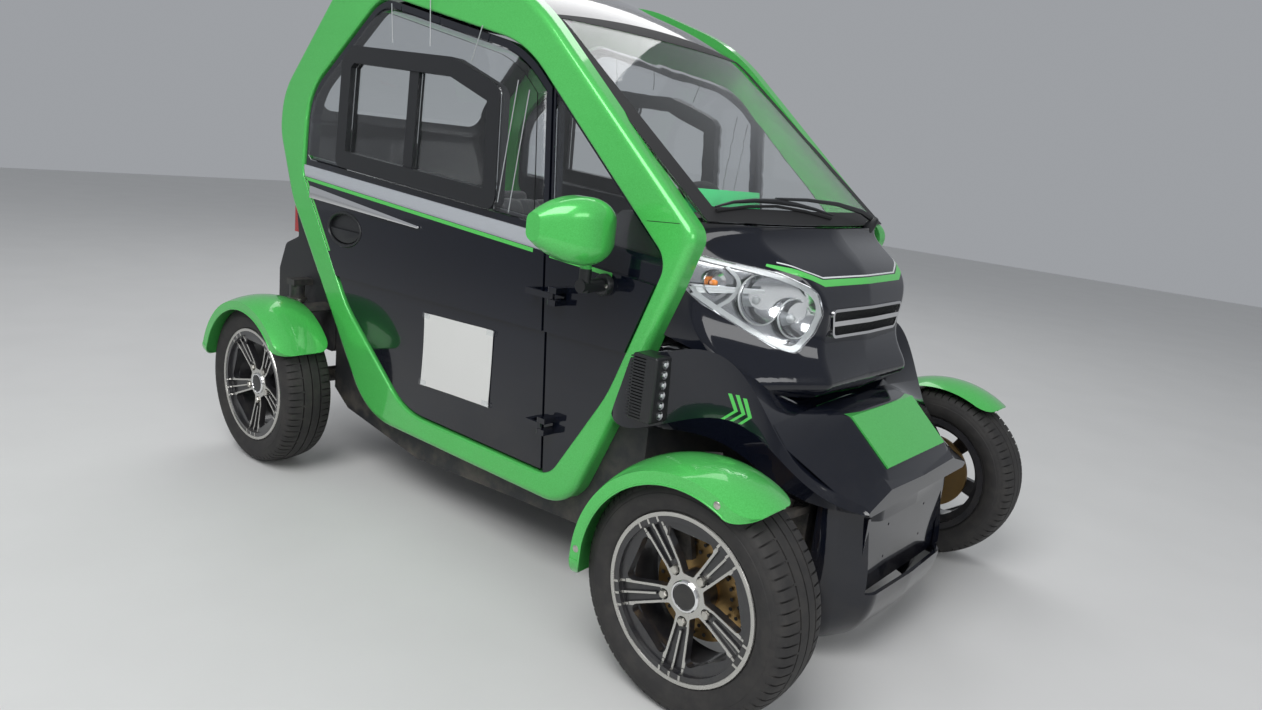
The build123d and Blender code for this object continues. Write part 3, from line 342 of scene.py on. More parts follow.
plate_green = solid("plate_green", (0.05, 0.62, 0.20), 0.35, 0.0, 0.3, (300, 9, 0.5, 0.1))
turned_metal = solid("turned_metal", (0.58, 0.57, 0.54), 0.24, 0.95, 0, (900, 60, 0.3, 0.12), (0.5, 0.2, 30))
front_rim = rim_finish("front_rim", front_hub)
rear_rim = rim_finish("rear_rim", rear_hub)


def finish_cloth():
    """Woven seat cover: two crossed waves and a slow shade."""
    cloth = Finish("seat_cloth", (0.045, 0.046, 0.052), 0.9, sheen_weight=0.4)
    place = object_place(cloth.tree)
    waves = []
    for direction in ("X", "Z"):
        bands = add_node(cloth.tree, "ShaderNodeTexWave", {"bands_direction": direction}, Vector=place,
                         Scale=160, Distortion=0.8)
        waves.append(bands.outputs["Fac"])
    cloth.mixed_color(cloth.noise(7.0), (0.075, 0.076, 0.082))
    return cloth.bump(math_of(cloth.tree, "MULTIPLY", *waves), 0.5, 0.0008).material


seat_fabric = finish_cloth()

# Ways to make and place pieces


def settle(name, mesh, finish, body, smooth=40):
    """Puts a finished mesh in the scene as a piece that rides on a body."""
    mesh.name = name
    mesh.materials.clear()
    mesh.materials.append(finish)
    if smooth:
        mesh.shade_smooth()
        mesh.set_sharp_from_angle(angle=math.radians(smooth))
    piece = bpy.data.objects.new(name, mesh)
    collection.objects.link(piece)
    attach(piece, body)
    return piece


def mirrored(mesh):
    """Copy of a right-hand mesh for the left side, with its faces turned outwards again."""
    other = mesh.copy()
    other.transform(Matrix.Scale(-1, 4, (1, 0, 0)))
    other.flip_normals()
    return other


def settle_both(name, mesh, finish, body, smooth=40):
    """Right-hand piece and its mirror image; a body's name may end in _right."""
    left_body = body.replace("_right", "_left")
    other = mirrored(mesh)
    pieces = [settle(f"{name}_right", mesh, finish, body, smooth)]
    pieces.append(settle(f"{name}_left", other, finish, left_body, smooth))
    return pieces


def from_bmesh(shape, outward=True):
    """Plain mesh of a bmesh, merged and facing outwards."""
    bmesh.ops.remove_doubles(shape, verts=shape.verts, dist=1e-6)
    if outward:
        bmesh.ops.recalc_face_normals(shape, faces=shape.faces)
    return plain_mesh(shape)


def plain_mesh(shape):
    mesh = bpy.data.meshes.new("piece")
    shape.to_mesh(mesh)
    shape.free()
    return mesh


def face_towards(shape, direction):
    """Turns a film's faces to look along a direction."""
    bmesh.ops.recalc_face_normals(shape, faces=shape.faces)
    if sum(face.normal.dot(direction) for face in shape.faces) < 0:
        bmesh.ops.reverse_faces(shape, faces=shape.faces)


def bridge(shape, rows, closed=True, loop=False):
    """Faces between rows of points: right round closed rows, and from the last row to the first in a loop."""
    for here, there in zip(rows, rows[1:] + rows[:1] if loop else rows[1:]):
        count = len(here)
        for i in range(count if closed else count - 1):
            j = (i + 1) % count
            shape.faces.new((here[i], here[j], there[j], there[i]))


def capped(shape, rows):
    """Mesh of closed rows with a face on each end."""
    bridge(shape, rows)
    shape.faces.new(rows[0])
    shape.faces.new(rows[-1])
    return from_bmesh(shape)


def axis_frame(axis):
    """Unit axis and the two directions across it."""
    axis = Vector(axis).normalized()
    side = axis.orthogonal().normalized()
    return axis, side, axis.cross(side)


def on_circle(side, up, share):
    """Direction at a share of a turn."""
    return math.cos(math.tau * share) * side + math.sin(math.tau * share) * up


def circle(shape, spot, side, up, radius, sides):
    return [shape.verts.new(spot + radius * on_circle(side, up, k / sides)) for k in range(sides)]


def joined(*meshes):
    """One mesh of several, keeping each one's faces."""
    shape = bmesh.new()
    for mesh in meshes:
        shape.from_mesh(mesh)
    return plain_mesh(shape)


def polished(mesh, bevel=0.0, segments=2, subdivide=0, thickness=0.0, offset=-1.0):
    """Mesh with a wall, rounded edges and subdivision applied, in that order."""
    holder = bpy.data.objects.new("holder", mesh)
    collection.objects.link(holder)
    if thickness:
        wall = holder.modifiers.new("wall", "SOLIDIFY")
        wall.thickness = thickness
        wall.offset = offset
    if bevel:
        edge = holder.modifiers.new("edge", "BEVEL")
        edge.width = bevel
        edge.segments = segments
        edge.limit_method = "ANGLE"
        edge.angle_limit = math.radians(35)
    if subdivide:
        smooth = holder.modifiers.new("smooth", "SUBSURF")
        smooth.levels = subdivide
        smooth.render_levels = subdivide
    return taken_out(holder)


def taken_out(holder):
    """Plain mesh of a holder object with its modifiers applied; the holder goes."""
    bpy.context.view_layer.update()
    result = bpy.data.meshes.new_from_object(holder.evaluated_get(bpy.context.evaluated_depsgraph_get()))
    holder.modifiers.clear()
    bpy.data.objects.remove(holder)
    return result


def wheel_spot(hub, w, r, angle):
    """Point a distance outboard of a wheel's middle, at a radius and an angle from its top."""
    return hub.x - w, hub.y + r * math.sin(angle), hub.z + r * math.cos(angle)


def spun(profile, hub, steps):
    """Ring about a crosswise axle from (distance outboard, radius) points on the right-hand side."""
    shape = bmesh.new()
    turns = [math.tau * i / steps for i in range(steps)]
    rows = [[shape.verts.new(wheel_spot(hub, w, r, turn)) for w, r in profile] for turn in turns]
    bridge(shape, rows, loop=True)
    return from_bmesh(shape)


def slab(corners, push):
    """Closed prism from a flat outline of points and a push vector."""
    shape = bmesh.new()
    low = [shape.verts.new(c) for c in corners]
    high = [shape.verts.new(Vector(c) + Vector(push)) for c in corners]
    shape.faces.new(low)
    shape.faces.new(list(reversed(high)))
    for i in range(len(low)):
        j = (i + 1) % len(low)
        shape.faces.new((low[j], low[i], high[i], high[j]))
    return from_bmesh(shape)


def brick(low, high, bevel=0.0):
    """Box between two corners with rounded edges."""
    (x0, y0, z0), (x1, y1, z1) = low, high
    box = slab([(x0, y0, z0), (x1, y0, z0), (x1, y1, z0), (x0, y1, z0)], (0, 0, z1 - z0))
    return polished(box, bevel) if bevel else box


def round_bar(points, radius, sides, taper=None):
    """Tube along a line of points, closed at both ends."""
    shape = bmesh.new()
    path = [Vector(p) for p in points]
    side = None
    rings = []
    for i, spot in enumerate(path):
        ahead = (path[min(i + 1, len(path) - 1)] - path[max(i - 1, 0)]).normalized()
        if side is None:
            side = ahead.orthogonal().normalized()
        side = (side - ahead * side.dot(ahead)).normalized()
        here = radius * taper[i] if taper else radius
        rings.append(circle(shape, spot, side, ahead.cross(side), here, sides))
    return capped(shape, rings)


def disc_stack(base, axis, rings, sides=24):
    """Turned knob: (height, radius) rings along an axis from a base point."""
    axis, side, up = axis_frame(axis)
    shape = bmesh.new()
    base = Vector(base)
    return capped(shape, [circle(shape, base + axis * height, side, up, r, sides) for height, r in rings])


def turned_ring(spot, axis, profile):
    """Closed ring about an axis from (height, radius) points of its section."""
    sides = 48
    axis, side, up = axis_frame(axis)
    shape = bmesh.new()
    rows = []
    for k in range(sides):
        out = on_circle(side, up, k / sides)
        rows.append([shape.verts.new(spot + axis * height + out * radius) for height, radius in profile])
    bridge(shape, rows, loop=True)
    return from_bmesh(shape)


def coil(foot, head, radius, wire, turns):
    """Spring wound round a line."""
    _, side, up = axis_frame(head - foot)
    steps = turns * 20
    line = [foot.lerp(head, i / steps) + radius * on_circle(side, up, i / 20) for i in range(steps + 1)]
    return round_bar(line, wire, 8)


def surface_of(*nodes):
    """Search tree over the surfaces of CAD nodes."""
    shape = bmesh.new()
    for node in nodes:
        shape.from_mesh(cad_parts[node].data)
    bmesh.ops.triangulate(shape, faces=shape.faces)
    tree = BVHTree.FromBMesh(shape)
    shape.free()
    return tree


def laid_on(tree, rows, direction, lift, thickness=0.0006):
    """Thin film over a surface: rows of points cast along a direction, then raised off it."""
    direction = Vector(direction).normalized()
    shape = bmesh.new()
    grid = []
    for row in rows:
        made = []
        for point in row:
            spot, normal, _, _ = tree.ray_cast(Vector(point) - direction * 0.8, direction)
            if spot is None:
                spot, normal, _, _ = tree.find_nearest(Vector(point))
            if normal.dot(direction) > 0:
                normal = -normal
            made.append(shape.verts.new(spot + normal * lift))
        grid.append(made)
    bridge(shape, grid, closed=False)
    face_towards(shape, -direction)
    return polished(plain_mesh(shape), thickness=thickness)


def between(a, b, count):
    """Points from one to another."""
    a, b = Vector(a), Vector(b)
    return [a.lerp(b, i / (count - 1)) for i in range(count)]


def along(points, spacing):
    """Even points along a broken line."""
    result = []
    for a, b in zip(points, points[1:]):
        a, b = Vector(a), Vector(b)
        steps = max(1, round((b - a).length / spacing))
        result += [a.lerp(b, i / steps) for i in range(steps)]
    return result + [Vector(points[-1])]


# Cabin side: points given as distance behind the front axle, distance up the side and depth inboard
side_lean = math.radians(2.0)
hoop_face = 0.525
door_face = 0.008
door_shoulder = -0.004
pane_face = -0.008
belt_bottom = ((0.3, 0.835), (1.9, 0.933))


def side_point(behind, up, inward):
    return Vector((
        -hoop_face + up * math.sin(side_lean) + inward * math.cos(side_lean),
        axle_y + behind,
        up * math.cos(side_lean) - inward * math.sin(side_lean),
    ))


side_inward = Vector((math.cos(side_lean), 0, -math.sin(side_lean)))


def line_at(line, behind):
    (a0, b0), (a1, b1) = line
    return b0 + (b1 - b0) * (behind - a0) / (a1 - a0)


def behind_axle(x, behind, z):
    return Vector((x, axle_y + behind, z))


# Repeats made with Geometry Nodes


def repeat_tree(name, turning):
    """Tree that repeats its mesh in a row, or turned about a crosswise axle through the origin."""
    tree = bpy.data.node_groups.new(name, "GeometryNodeTree")
    more = [("Start Angle", "Float"), ("Hub", "Vector")] if turning else [("Step", "Vector")]
    for label, kind in (("Geometry", "Geometry"), ("Count", "Int"), *more, ("Finish", "Material")):
        tree.interface.new_socket(label, in_out="INPUT", socket_type=f"NodeSocket{kind}")
    tree.interface.new_socket("Geometry", in_out="OUTPUT", socket_type="NodeSocketGeometry")
    given = tree.nodes.new("NodeGroupInput").outputs
    index = tree.nodes.new("GeometryNodeInputIndex").outputs[0]
    scale = {"operation": "SCALE"}
    if turning:
        share = math_of(tree, "DIVIDE", index, given["Count"])
        turn = math_of(tree, "MULTIPLY_ADD", share, math.tau, given["Start Angle"])
        away = add_node(tree, "ShaderNodeVectorMath", scale, _0=given["Hub"], Scale=-1).outputs[0]
        home = add_node(tree, "GeometryNodeTransform", Geometry=given["Geometry"], Translation=away)
        place = given["Hub"]
        axis = add_node(tree, "ShaderNodeCombineXYZ", X=turn).outputs[0]
        item = {"instance": home.outputs[0], "rotation": axis}
    else:
        place = add_node(tree, "ShaderNodeVectorMath", scale, _0=given["Step"], Scale=index).outputs[0]
        item = {"instance": given["Geometry"]}
    points = add_node(tree, "GeometryNodePoints", Count=given["Count"], Position=place)
    copies = add_node(tree, "GeometryNodeInstanceOnPoints", Points=points.outputs[0], **item)
    real = add_node(tree, "GeometryNodeRealizeInstances", _0=copies.outputs[0])
    dressed = add_node(tree, "GeometryNodeSetMaterial", Geometry=real.outputs[0], Material=given["Finish"])
    tree.links.new(dressed.outputs[0], tree.nodes.new("NodeGroupOutput").inputs[0])
    return tree


ring_tree = repeat_tree("ring_of_copies", True)
row_tree = repeat_tree("row_of_copies", False)


def repeated(tree, mesh, finish, **inputs):
    """Plain mesh of a tree's repeats of a mesh."""
    holder = bpy.data.objects.new("holder", mesh)
    collection.objects.link(holder)
    step = holder.modifiers.new("repeat", "NODES")
    step.node_group = tree
    named = {item.name: item.identifier for item in tree.interface.items_tree if item.in_out == "INPUT"}
    step[named["Finish"]] = finish
    for label, value in inputs.items():
        step[named[label.replace("_", " ").title()]] = value
    return taken_out(holder)


# CAD pieces that keep their shape


def pair(*names):
    return [f"{name}_{side}" for name in names for side in ("left", "right")]


node_finish = (
    (green_paint, ["side_hoops", "rear_mudguards", "mirrors", "nose_hatch", *pair("front_mudguard")]),
    (black_paint, ["bonnet", "nose_fairing", "front_side_panels", *pair("door_panel")]),
    (roof_paint, ["roof_panel", "tail_panel"]),
    (silver_trim, pair("door_belt_strip")),
    (clear_pane, pair("door_pane")),
    (clear_glass, ["quarter_glass", "windscreen", "rear_window", *pair("slider_panes")]),
    (red_lens, ["tail_lamps"]),
    (lamp_glass, ["headlamps"]),
    (black_frame, ["work_lamps", *pair("slider_frame")]),
    (dark_plastic, ["tail_body", "floor_tub", "dashboard", "battery"]),
    (chrome, ["grille"]),
    (seat_fabric, ["seats"]),
    (black_rubber_and_painted_shade, ["steering_wheel"]),
    (disc_steel, pair("brake_disc")),
    (front_rim, pair("rim_front")),
    (rear_rim, pair("rim_rear")),
    (steel_coat, ["front_subframe", "rear_subframe", "front_suspension", "rear_suspension", "rear_axle",
                  *pair("knuckle")]),
)
for finish, node_names in node_finish:
    for node_name in node_names:
        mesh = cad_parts[node_name].data
        mesh.materials.clear()
        mesh.materials.append(finish)


# Wheels

bead = 0.0597
crown_drop = 0.009
tread_half = 0.066
groove_depth = 0.0065
tread_blocks = 72
tread_pitch = math.tau / tread_blocks
tyre_side = (
    (bead, 0.1655), (bead, 0.1795), (0.0655, 0.1825), (0.0690, 0.1860), (0.0700, 0.1885),
    (0.0742, 0.1945), (0.0765, 0.2010), (0.0782, 0.2080), (0.0788, 0.2140), (0.0784, 0.2200),
    (0.0772, 0.2215), (0.0768, 0.2260), (0.0748, 0.2310), (0.0722, 0.2370), (0.0690, 0.2415),
    (0.0640, 0.2430),
)
outboard = (-1, 0, 0)
spokes = 5
first_spoke = math.pi / spokes
rail_start = 0.1480
rail_offset = 0.02515
rail_half = 0.0025
rail_flare = 1.6


def crown(w):
    """Radius of the tread at a distance from the tyre's middle."""
    return tyre_radius - crown_drop * (w / tread_half) ** 2


def tread_block(hub, spots, wide):
    """Curved block over (distance outboard, radius) spots, as wide as a share of the pitch."""
    shape = bmesh.new()
    low, high = [], []
    for sign in (-1, 1):
        turn = sign * tread_pitch * wide / 2
        for rows, sunk in ((high, 0.0), (low, 0.012)):
            rows.append([shape.verts.new(wheel_spot(hub, w, r - sunk, turn)) for w, r in spots])
    last = len(spots) - 1
    for i in range(last):
        shape.faces.new((high[0][i], high[0][i + 1], high[1][i + 1], high[1][i]))
        for k in (0, 1):
            shape.faces.new((low[k][i], low[k][i + 1], high[k][i + 1], high[k][i]))
    for i in (0, last):
        shape.faces.new((low[0][i], high[0][i], high[1][i], low[1][i]))
    return from_bmesh(shape)


def tyre_mesh(hub):
    """Carcass with ringed sidewalls, four ribs and three grooves, and the tread blocks round it."""
    tread = ((0.0300, 0), (0.0298, 1), (0.0262, 1), (0.0260, 0), (0.0140, 0), (0.0020, 0), (0.0018, 1))
    profile = [*tyre_side, *((w, crown(w) - groove_depth * sunk) for w, sunk in tread)]
    carcass = spun(profile + [(-w, r) for w, r in reversed(profile)], hub, 128)
    shoulder = [(w, crown(w)) for w in (0.030, 0.046, 0.060)]
    shoulder += [(0.0675, 0.2462), (0.0715, 0.2400), (0.0742, 0.2335)]
    blocks = joined(*(tread_block(hub, [(sign * w, r) for w, r in shoulder], 0.82) for sign in (-1, 1)))
    ribs = repeated(ring_tree, blocks, tyre_rubber, count=tread_blocks, start_angle=0.0, hub=hub)
    notch = tread_block(hub, [(w, crown(w) + 0.0004) for w in (0.0262, 0.0330)], 0.20)
    halfway = tread_pitch / 2
    notches = repeated(ring_tree, notch, tyre_rubber, count=tread_blocks // 2, start_angle=halfway, hub=hub)
    return joined(carcass, ribs, notches)


def spoke_rails(end, hub):
    """Three bright rails on each spoke, laid on the rim from the machined face out to the lip."""
    tree = surface_of(f"rim_{end}_right")
    rails = []
    for middle in (-rail_offset, 0.0, rail_offset):
        rows = []
        for r in (rail_start + 0.0022 * k for k in range(12)):
            spread = middle * (1 + rail_flare * (r - rail_start))
            rows.append([(hub.x, hub.y + spread + t, hub.z + r) for t in (-rail_half, 0.0, rail_half)])
        rails.append(laid_on(tree, rows, (1, 0, 0), 0.0008))
    return repeated(ring_tree, joined(*rails), turned_metal, count=spokes, start_angle=first_spoke, hub=hub)


def add_wheels():
    """Tyres, nuts, caps, bright rim edges and valves."""
    nut_rings = [(0, 0.0095), (0.002, 0.0105), (0.010, 0.0105), (0.013, 0.0085), (0.014, 0.004)]
    ring_rings = [(0, 0.034), (0.004, 0.034), (0.006, 0.032), (0.006, 0.0285), (0.0035, 0.0275)]
    cap_rings = [(0.002, 0.0272), (0.0045, 0.0268), (0.0056, 0.018), (0.0060, 0.008)]
    lip_profile = [(0.0660, 0.1715), (0.0690, 0.1722), (0.0700, 0.1760), (0.0696, 0.1805), (0.0672, 0.1822),
                   (0.0655, 0.1770)]
    for end, hub in (("front", front_hub), ("rear", rear_hub)):
        body = f"wheel_{end}_right"
        tyres = settle_both(f"tyre_tread_{end}", tyre_mesh(hub), tyre_rubber, body, 30)
        for piece, side in zip(tyres, ("right", "left")):
            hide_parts(f"tyre_{end}_{side}")
        nut = disc_stack(hub + Vector((-0.0365, 0, 0.057)), outboard, nut_rings, 6)
        nuts = repeated(ring_tree, nut, bolt_steel, count=spokes, start_angle=first_spoke, hub=hub)
        settle_both(f"wheel_nuts_{end}", nuts, bolt_steel, body, 30)
        face = hub + Vector((-0.0435, 0, 0))
        caps = (("hub_cap_ring", ring_rings, chrome), ("hub_cap", cap_rings, black_frame))
        for name, rings, finish in caps:
            turned = disc_stack(face, outboard, rings, 48)
            settle_both(f"{name}_{end}", turned, finish, body, 30)
        edge = joined(spun(lip_profile, hub, 96), spoke_rails(end, hub))
        settle_both(f"rim_edge_{end}", edge, turned_metal, body, 30)
        stem = [hub + Vector((-0.050, 0.055, 0.143)), hub + Vector((-0.062, 0.047, 0.122))]
        settle_both(f"valve_{end}", round_bar(stem, 0.0035, 10), black_rubber_and_painted_shade, body)


def add_disc_hole_shade():
    """Two staggered rings of holes on the front discs, drawn as black discs on the face: painted shade in
    place of the holes.
    """
    face_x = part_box("brake_disc_right")[0].x - 0.0006
    hole_rings = [(0, 0.0042), (0.0013, 0.0042)]
    rings = []
    for radius, start in ((0.098, 0.0), (0.080, math.tau / 48)):
        # Each black disc sits on the disc's face as painted shade standing for a drilled hole.
        hole = disc_stack((face_x, front_hub.y, front_hub.z + radius), (1, 0, 0), hole_rings, 10)
        rings.append(repeated(ring_tree, hole, black_rubber_and_painted_shade, count=24, start_angle=start, hub=front_hub))
    settle_both("disc_hole_shade", joined(*rings), black_rubber_and_painted_shade, "wheel_front_right", 0)


# Mudguards

guard_outer = 0.728
guard_inner = 0.548
guard_edge = 0.271
guard_crown = 0.018
guard_flange = 0.026
guard_corner = 0.050
guard_corner_radius = 0.275


def guard_spot(hub, x, angle, lower):
    """Point below a mudguard's outside, at a distance out and an angle up from straight behind."""
    middle = (guard_outer + guard_inner) / 2
    radius = guard_edge + guard_crown * (1 - ((x - middle) / (guard_outer - middle)) ** 2) - lower
    return Vector((-x, hub.y + radius * math.cos(angle), hub.z + radius * math.sin(angle)))


def guard_corner_parts(hub, stop, way):
    """Turned-down corner of a guard's end, and its lower edge and the end's edge for the rolled lip."""
    top, bottom = [], []
    for step in range(10):
        turn = math.pi / 2 * step / 9
        x = guard_outer - guard_corner * (1 - math.cos(turn))
        angle = stop - way * guard_corner * (1 - math.sin(turn)) / guard_corner_radius
        top.append(guard_spot(hub, x, angle, 0.0002))
        bottom.append(guard_spot(hub, x, angle, guard_flange * math.cos(turn) ** 1.5 + 0.0008))
    across = [guard_spot(hub, guard_outer - guard_corner - 0.0100 * k, stop, 0.0020) for k in range(1, 8)]
    shape = bmesh.new()
    rows = [[shape.verts.new(a.lerp(b, t)) for t in (0, 0.5, 1)] for a, b in zip(top, bottom)]
    bridge(shape, rows, closed=False)
    return polished(from_bmesh(shape), thickness=0.003, offset=0.0), bottom, across


def add_guard_trim():
    """Rolled lips and turned-down corners of the mudguards, and their screws."""
    for end, body, hub, arc in (
        ("front", "steered_right", front_hub, (-11, 124)),
        ("rear", "root", rear_hub, (8, 148)),
    ):
        first, last = (math.radians(a) for a in arc)
        head, head_edge, head_across = guard_corner_parts(hub, last, 1)
        tail, tail_edge, tail_across = guard_corner_parts(hub, first, -1)
        turns = [first + (last - first) * k / 60 for k in range(9, 56)]
        run = [guard_spot(hub, guard_outer, turn, guard_flange) for turn in turns]
        line = tail_across[::-1] + tail_edge[::-1] + run + head_edge + head_across
        lip = joined(round_bar(line, 0.0022, 8), head, tail)
        settle_both(f"guard_lip_{end}", lip, green_paint, body, 50)
    knob_rings = [(0, 0.008), (0.0015, 0.008), (0.003, 0.006), (0.0035, 0.003)]
    for name, behind, z in (("front", -0.0829, 0.5017), ("back", 0.2551, 0.2807)):
        knob = disc_stack(behind_axle(0.001 - guard_outer, behind, z), outboard, knob_rings)
        settle_both(f"guard_bolt_{name}", knob, bolt_steel, "steered_right")


# Door and side trim


def side_strip(lower, upper, start, end, inward, proud, bevel=0.0):
    """Strip that runs along the side between two lines, standing proud of a depth."""
    steps = 24
    shape = bmesh.new()
    rows = []
    for i in range(steps + 1):
        behind = start + (end - start) * i / steps
        low, high = lower(behind), upper(behind)
        rows.append([
            shape.verts.new(side_point(behind, low, inward)),
            shape.verts.new(side_point(behind, high, inward)),
            shape.verts.new(side_point(behind, high, inward - proud)),
            shape.verts.new(side_point(behind, low, inward - proud)),
        ])
    mesh = capped(shape, rows)
    return polished(mesh, bevel) if bevel else mesh


def under_belt(drop):
    """Line below the belt strip, as a height for each distance behind the front axle."""
    return lambda behind: line_at(belt_bottom, behind) - drop


def pull_edge(sign):
    """Upper or lower edge of the pull strip, which widens rearwards."""
    def height(behind):
        back = behind - pull_front
        return pull_height + back * pull_rise + sign * (0.004 + 0.016 * back / pull_length)
    return height


pull_front = 1.165
pull_length = 0.58
pull_height = 0.845
pull_rise = 0.062


def add_door_trim():
    """Green lines under the belt strip and down the door's edge, and the chromed pull strip."""
    for name, start, end, body in (
        ("belt_green_line", 0.70, 1.79, "door_right"),
        ("panel_green_line", 0.43, 0.64, "root"),
    ):
        green = side_strip(under_belt(0.011), under_belt(0.001), start, end, door_shoulder, 0.0008)
        settle_both(name, green, green_line, body)
    edge_run = Vector((-0.608, -0.794))
    edge_in = Vector((-0.794, 0.608))
    leg = []
    for depth in (0.012, 0.021):
        top = Vector((1.815, 0.935)) + edge_in * depth + edge_run * (0.020 + depth * 0.5)
        leg.append((top, top + edge_run * 0.27))
    (a, b), (c, d) = leg
    corners = [side_point(*spot, door_shoulder - 0.0008) for spot in (a, b, d, c)]
    leg = slab(corners, side_inward * 0.0008)
    settle_both("belt_green_leg", leg, green_line, "door_right", 0)
    back = pull_front + pull_length
    strip = side_strip(pull_edge(-1), pull_edge(1), pull_front, back, door_shoulder, 0.009, 0.003)
    settle_both("door_pull_strip", strip, chrome, "door_right")


def ellipse_ring(middle, half_long, half_high, inward, proud, wide):
    """Raised oval rim on the side."""
    steps = 48
    section = ((0, 0), (wide * 0.3, proud), (wide * 0.8, proud), (wide, 0), (wide, -0.004), (0, -0.012))
    shape = bmesh.new()
    rows = []
    for i in range(steps):
        c, s = math.cos(math.tau * i / steps), math.sin(math.tau * i / steps)
        row = []
        for grow, depth in section:
            behind = middle[0] + c * (half_long - wide + grow)
            up = middle[1] + s * (half_high - wide + grow)
            row.append(shape.verts.new(side_point(behind, up, inward - depth)))
        rows.append(row)
    bridge(shape, rows, loop=True)
    return from_bmesh(shape)


def oval_plate(middle, half_long, half_high, inward, thickness, lower=False):
    """Oval plate on the side, or its lower half."""
    turns = [math.tau * i / 40 for i in range(40)]
    if lower:
        turns = [-math.pi * 0.97 + math.pi * 0.94 * i / 40 for i in range(41)]
    y, z = middle
    corners = [side_point(y + half_long * math.cos(a), z + half_high * math.sin(a), inward) for a in turns]
    return slab(corners, -side_inward * thickness)


def add_door_handle():
    """Rim, bowl and flap of the oval handle."""
    y, z = 1.545, 0.787
    half_long, half_high = 0.094, 0.056
    rim = ellipse_ring((y, z), half_long, half_high, door_shoulder, 0.003, 0.010)
    floor = oval_plate((y, z), half_long - 0.006, half_high - 0.006, door_shoulder + 0.0135, 0.002)
    low = (y, z + 0.002)
    flap = oval_plate(low, half_long - 0.013, half_high - 0.012, door_shoulder + 0.010, 0.008, lower=True)
    for name, mesh in (("handle_rim", rim), ("handle_bowl", floor), ("handle_flap", polished(flap, 0.003))):
        settle_both(name, mesh, black_frame, "door_right")


mirror_behind = 0.446
mirror_foot_z = 0.812


def add_mirror_arms():
    """Black foot, arm and post that cover the CAD's arm, and the foot's screw."""
    foot = behind_axle(-0.4995, mirror_behind, mirror_foot_z)
    base = disc_stack(foot, outboard, [(0, 0.0260), (0.0135, 0.0258), (0.0175, 0.0225), (0.0185, 0.017)], 40)
    bar = round_bar([foot, behind_axle(-0.5884, mirror_behind, mirror_foot_z)], 0.0160, 24)
    post = round_bar([behind_axle(-0.5740, mirror_behind, z) for z in (0.7976, 0.852)], 0.0142, 24)
    settle_both("mirror_arm", joined(base, bar, post), black_frame, "root")
    screw_place = foot + Vector((-0.0184, -0.0175, 0))
    screw = disc_stack(screw_place, outboard, [(0, 0.0048), (0.0016, 0.0048), (0.0026, 0.0030)], 16)
    settle_both("mirror_screw", screw, bolt_steel, "root")


def add_pane_ribs():
    """Moulded ribs of the blister pane, each from its foot to its head as (behind, up)."""
    ribs = []
    for foot, head in (
        ((1.355, 1.345), (1.372, 1.452)), ((1.180, 1.338), (1.196, 1.470)), ((1.000, 1.300), (0.968, 1.392)),
        ((0.845, 0.955), (0.812, 1.262)), ((0.800, 0.935), (0.768, 1.240)),
    ):
        line = between((*foot, 0), (*head, 0), 8)
        ribs.append(round_bar([side_point(spot.x, spot.y, pane_face - 0.0005) for spot in line], 0.0015, 8))
    settle_both("pane_ribs", joined(*ribs), lamp_frost, "door_right")


paper_long = 0.297
paper_high = 0.21
paper_lean = math.radians(-2.2)


def paper_spot(a, b):
    """Place on the door, as distances behind the axle and up the side, of a point on the sheet."""
    behind = 0.970 + a * math.cos(paper_lean) - b * math.sin(paper_lean)
    return behind, 0.508 + a * math.sin(paper_lean) + b * math.cos(paper_lean)


def add_paper():
    """Blank sheet of paper taped flat to the right-hand door."""
    shape = bmesh.new()
    rows = []
    for i in range(25):
        row = []
        for k in range(19):
            a, b = (i / 24 - 0.5) * paper_long, (k / 18 - 0.5) * paper_high
            curl = 0.0022 * (abs(a) / 0.1485) ** 6 * (b / 0.105) ** 2 + 0.0006 * math.sin(a * 31 + b * 17)
            row.append(shape.verts.new(side_point(*paper_spot(a, b), door_face - 0.0016 - curl)))
        rows.append(row)
    bridge(shape, rows, closed=False)
    mesh = from_bmesh(shape, outward=False)
    if mesh.polygons[0].normal.x > 0:
        mesh.flip_normals()
    sheet = settle("paper_sheet", polished(mesh, thickness=0.0003), paper, "door_right")
    tape = []
    for a, b in ((-0.140, 0.098), (0.140, 0.098), (-0.140, -0.098), (0.140, -0.098)):
        y, z = paper_spot(a, b)
        signs = ((-1, -1), (1, -1), (1, 1), (-1, 1))
        corners = [side_point(y + 0.016 * m, z + 0.008 * n, door_face - 0.0050) for m, n in signs]
        tape.append(slab(corners, side_inward * 0.0003))
    settle("paper_tape", joined(*tape), clear_pane, "door_right", 0)


# Nose


def rounded_path(points, spacing):
    """Even points along a broken line whose corners are softened twice."""
    line = [Vector(point).to_3d() for point in points]
    for _ in range(2):
        softer = [line[0]]
        for a, b in zip(line, line[1:]):
            softer += [a.lerp(b, 0.25), a.lerp(b, 0.75)]
        line = softer + [line[-1]]
    return [tuple(spot.xy) for spot in along(line, spacing)]


def stripe(tree, points, widths, direction, lift, rows=4):
    """Film along points in a surface's (x, z) view, of one width or one for each point."""
    if isinstance(widths, float):
        widths = [widths] * len(points)
    line = [Vector((x, 0, z)) for x, z in points]
    grid = [[] for _ in range(rows)]
    for i, spot in enumerate(line):
        before = (line[i] - line[i - 1]).normalized() if i else None
        after = (line[i + 1] - line[i]).normalized() if i + 1 < len(line) else None
        run = ((before or after) + (after or before)).normalized()
        across = Vector((-run.z, 0, run.x))
        stretch = 1.0
        if before and after:
            stretch = 1 / max(0.5, across.dot(Vector((-after.z, 0, after.x))))
        for k in range(rows):
            aside = across * widths[i] * stretch * (k / (rows - 1) - 0.5)
            grid[k].append(Vector((0, axle_y, 0)) + spot + aside)
    return laid_on(tree, grid, direction, lift)


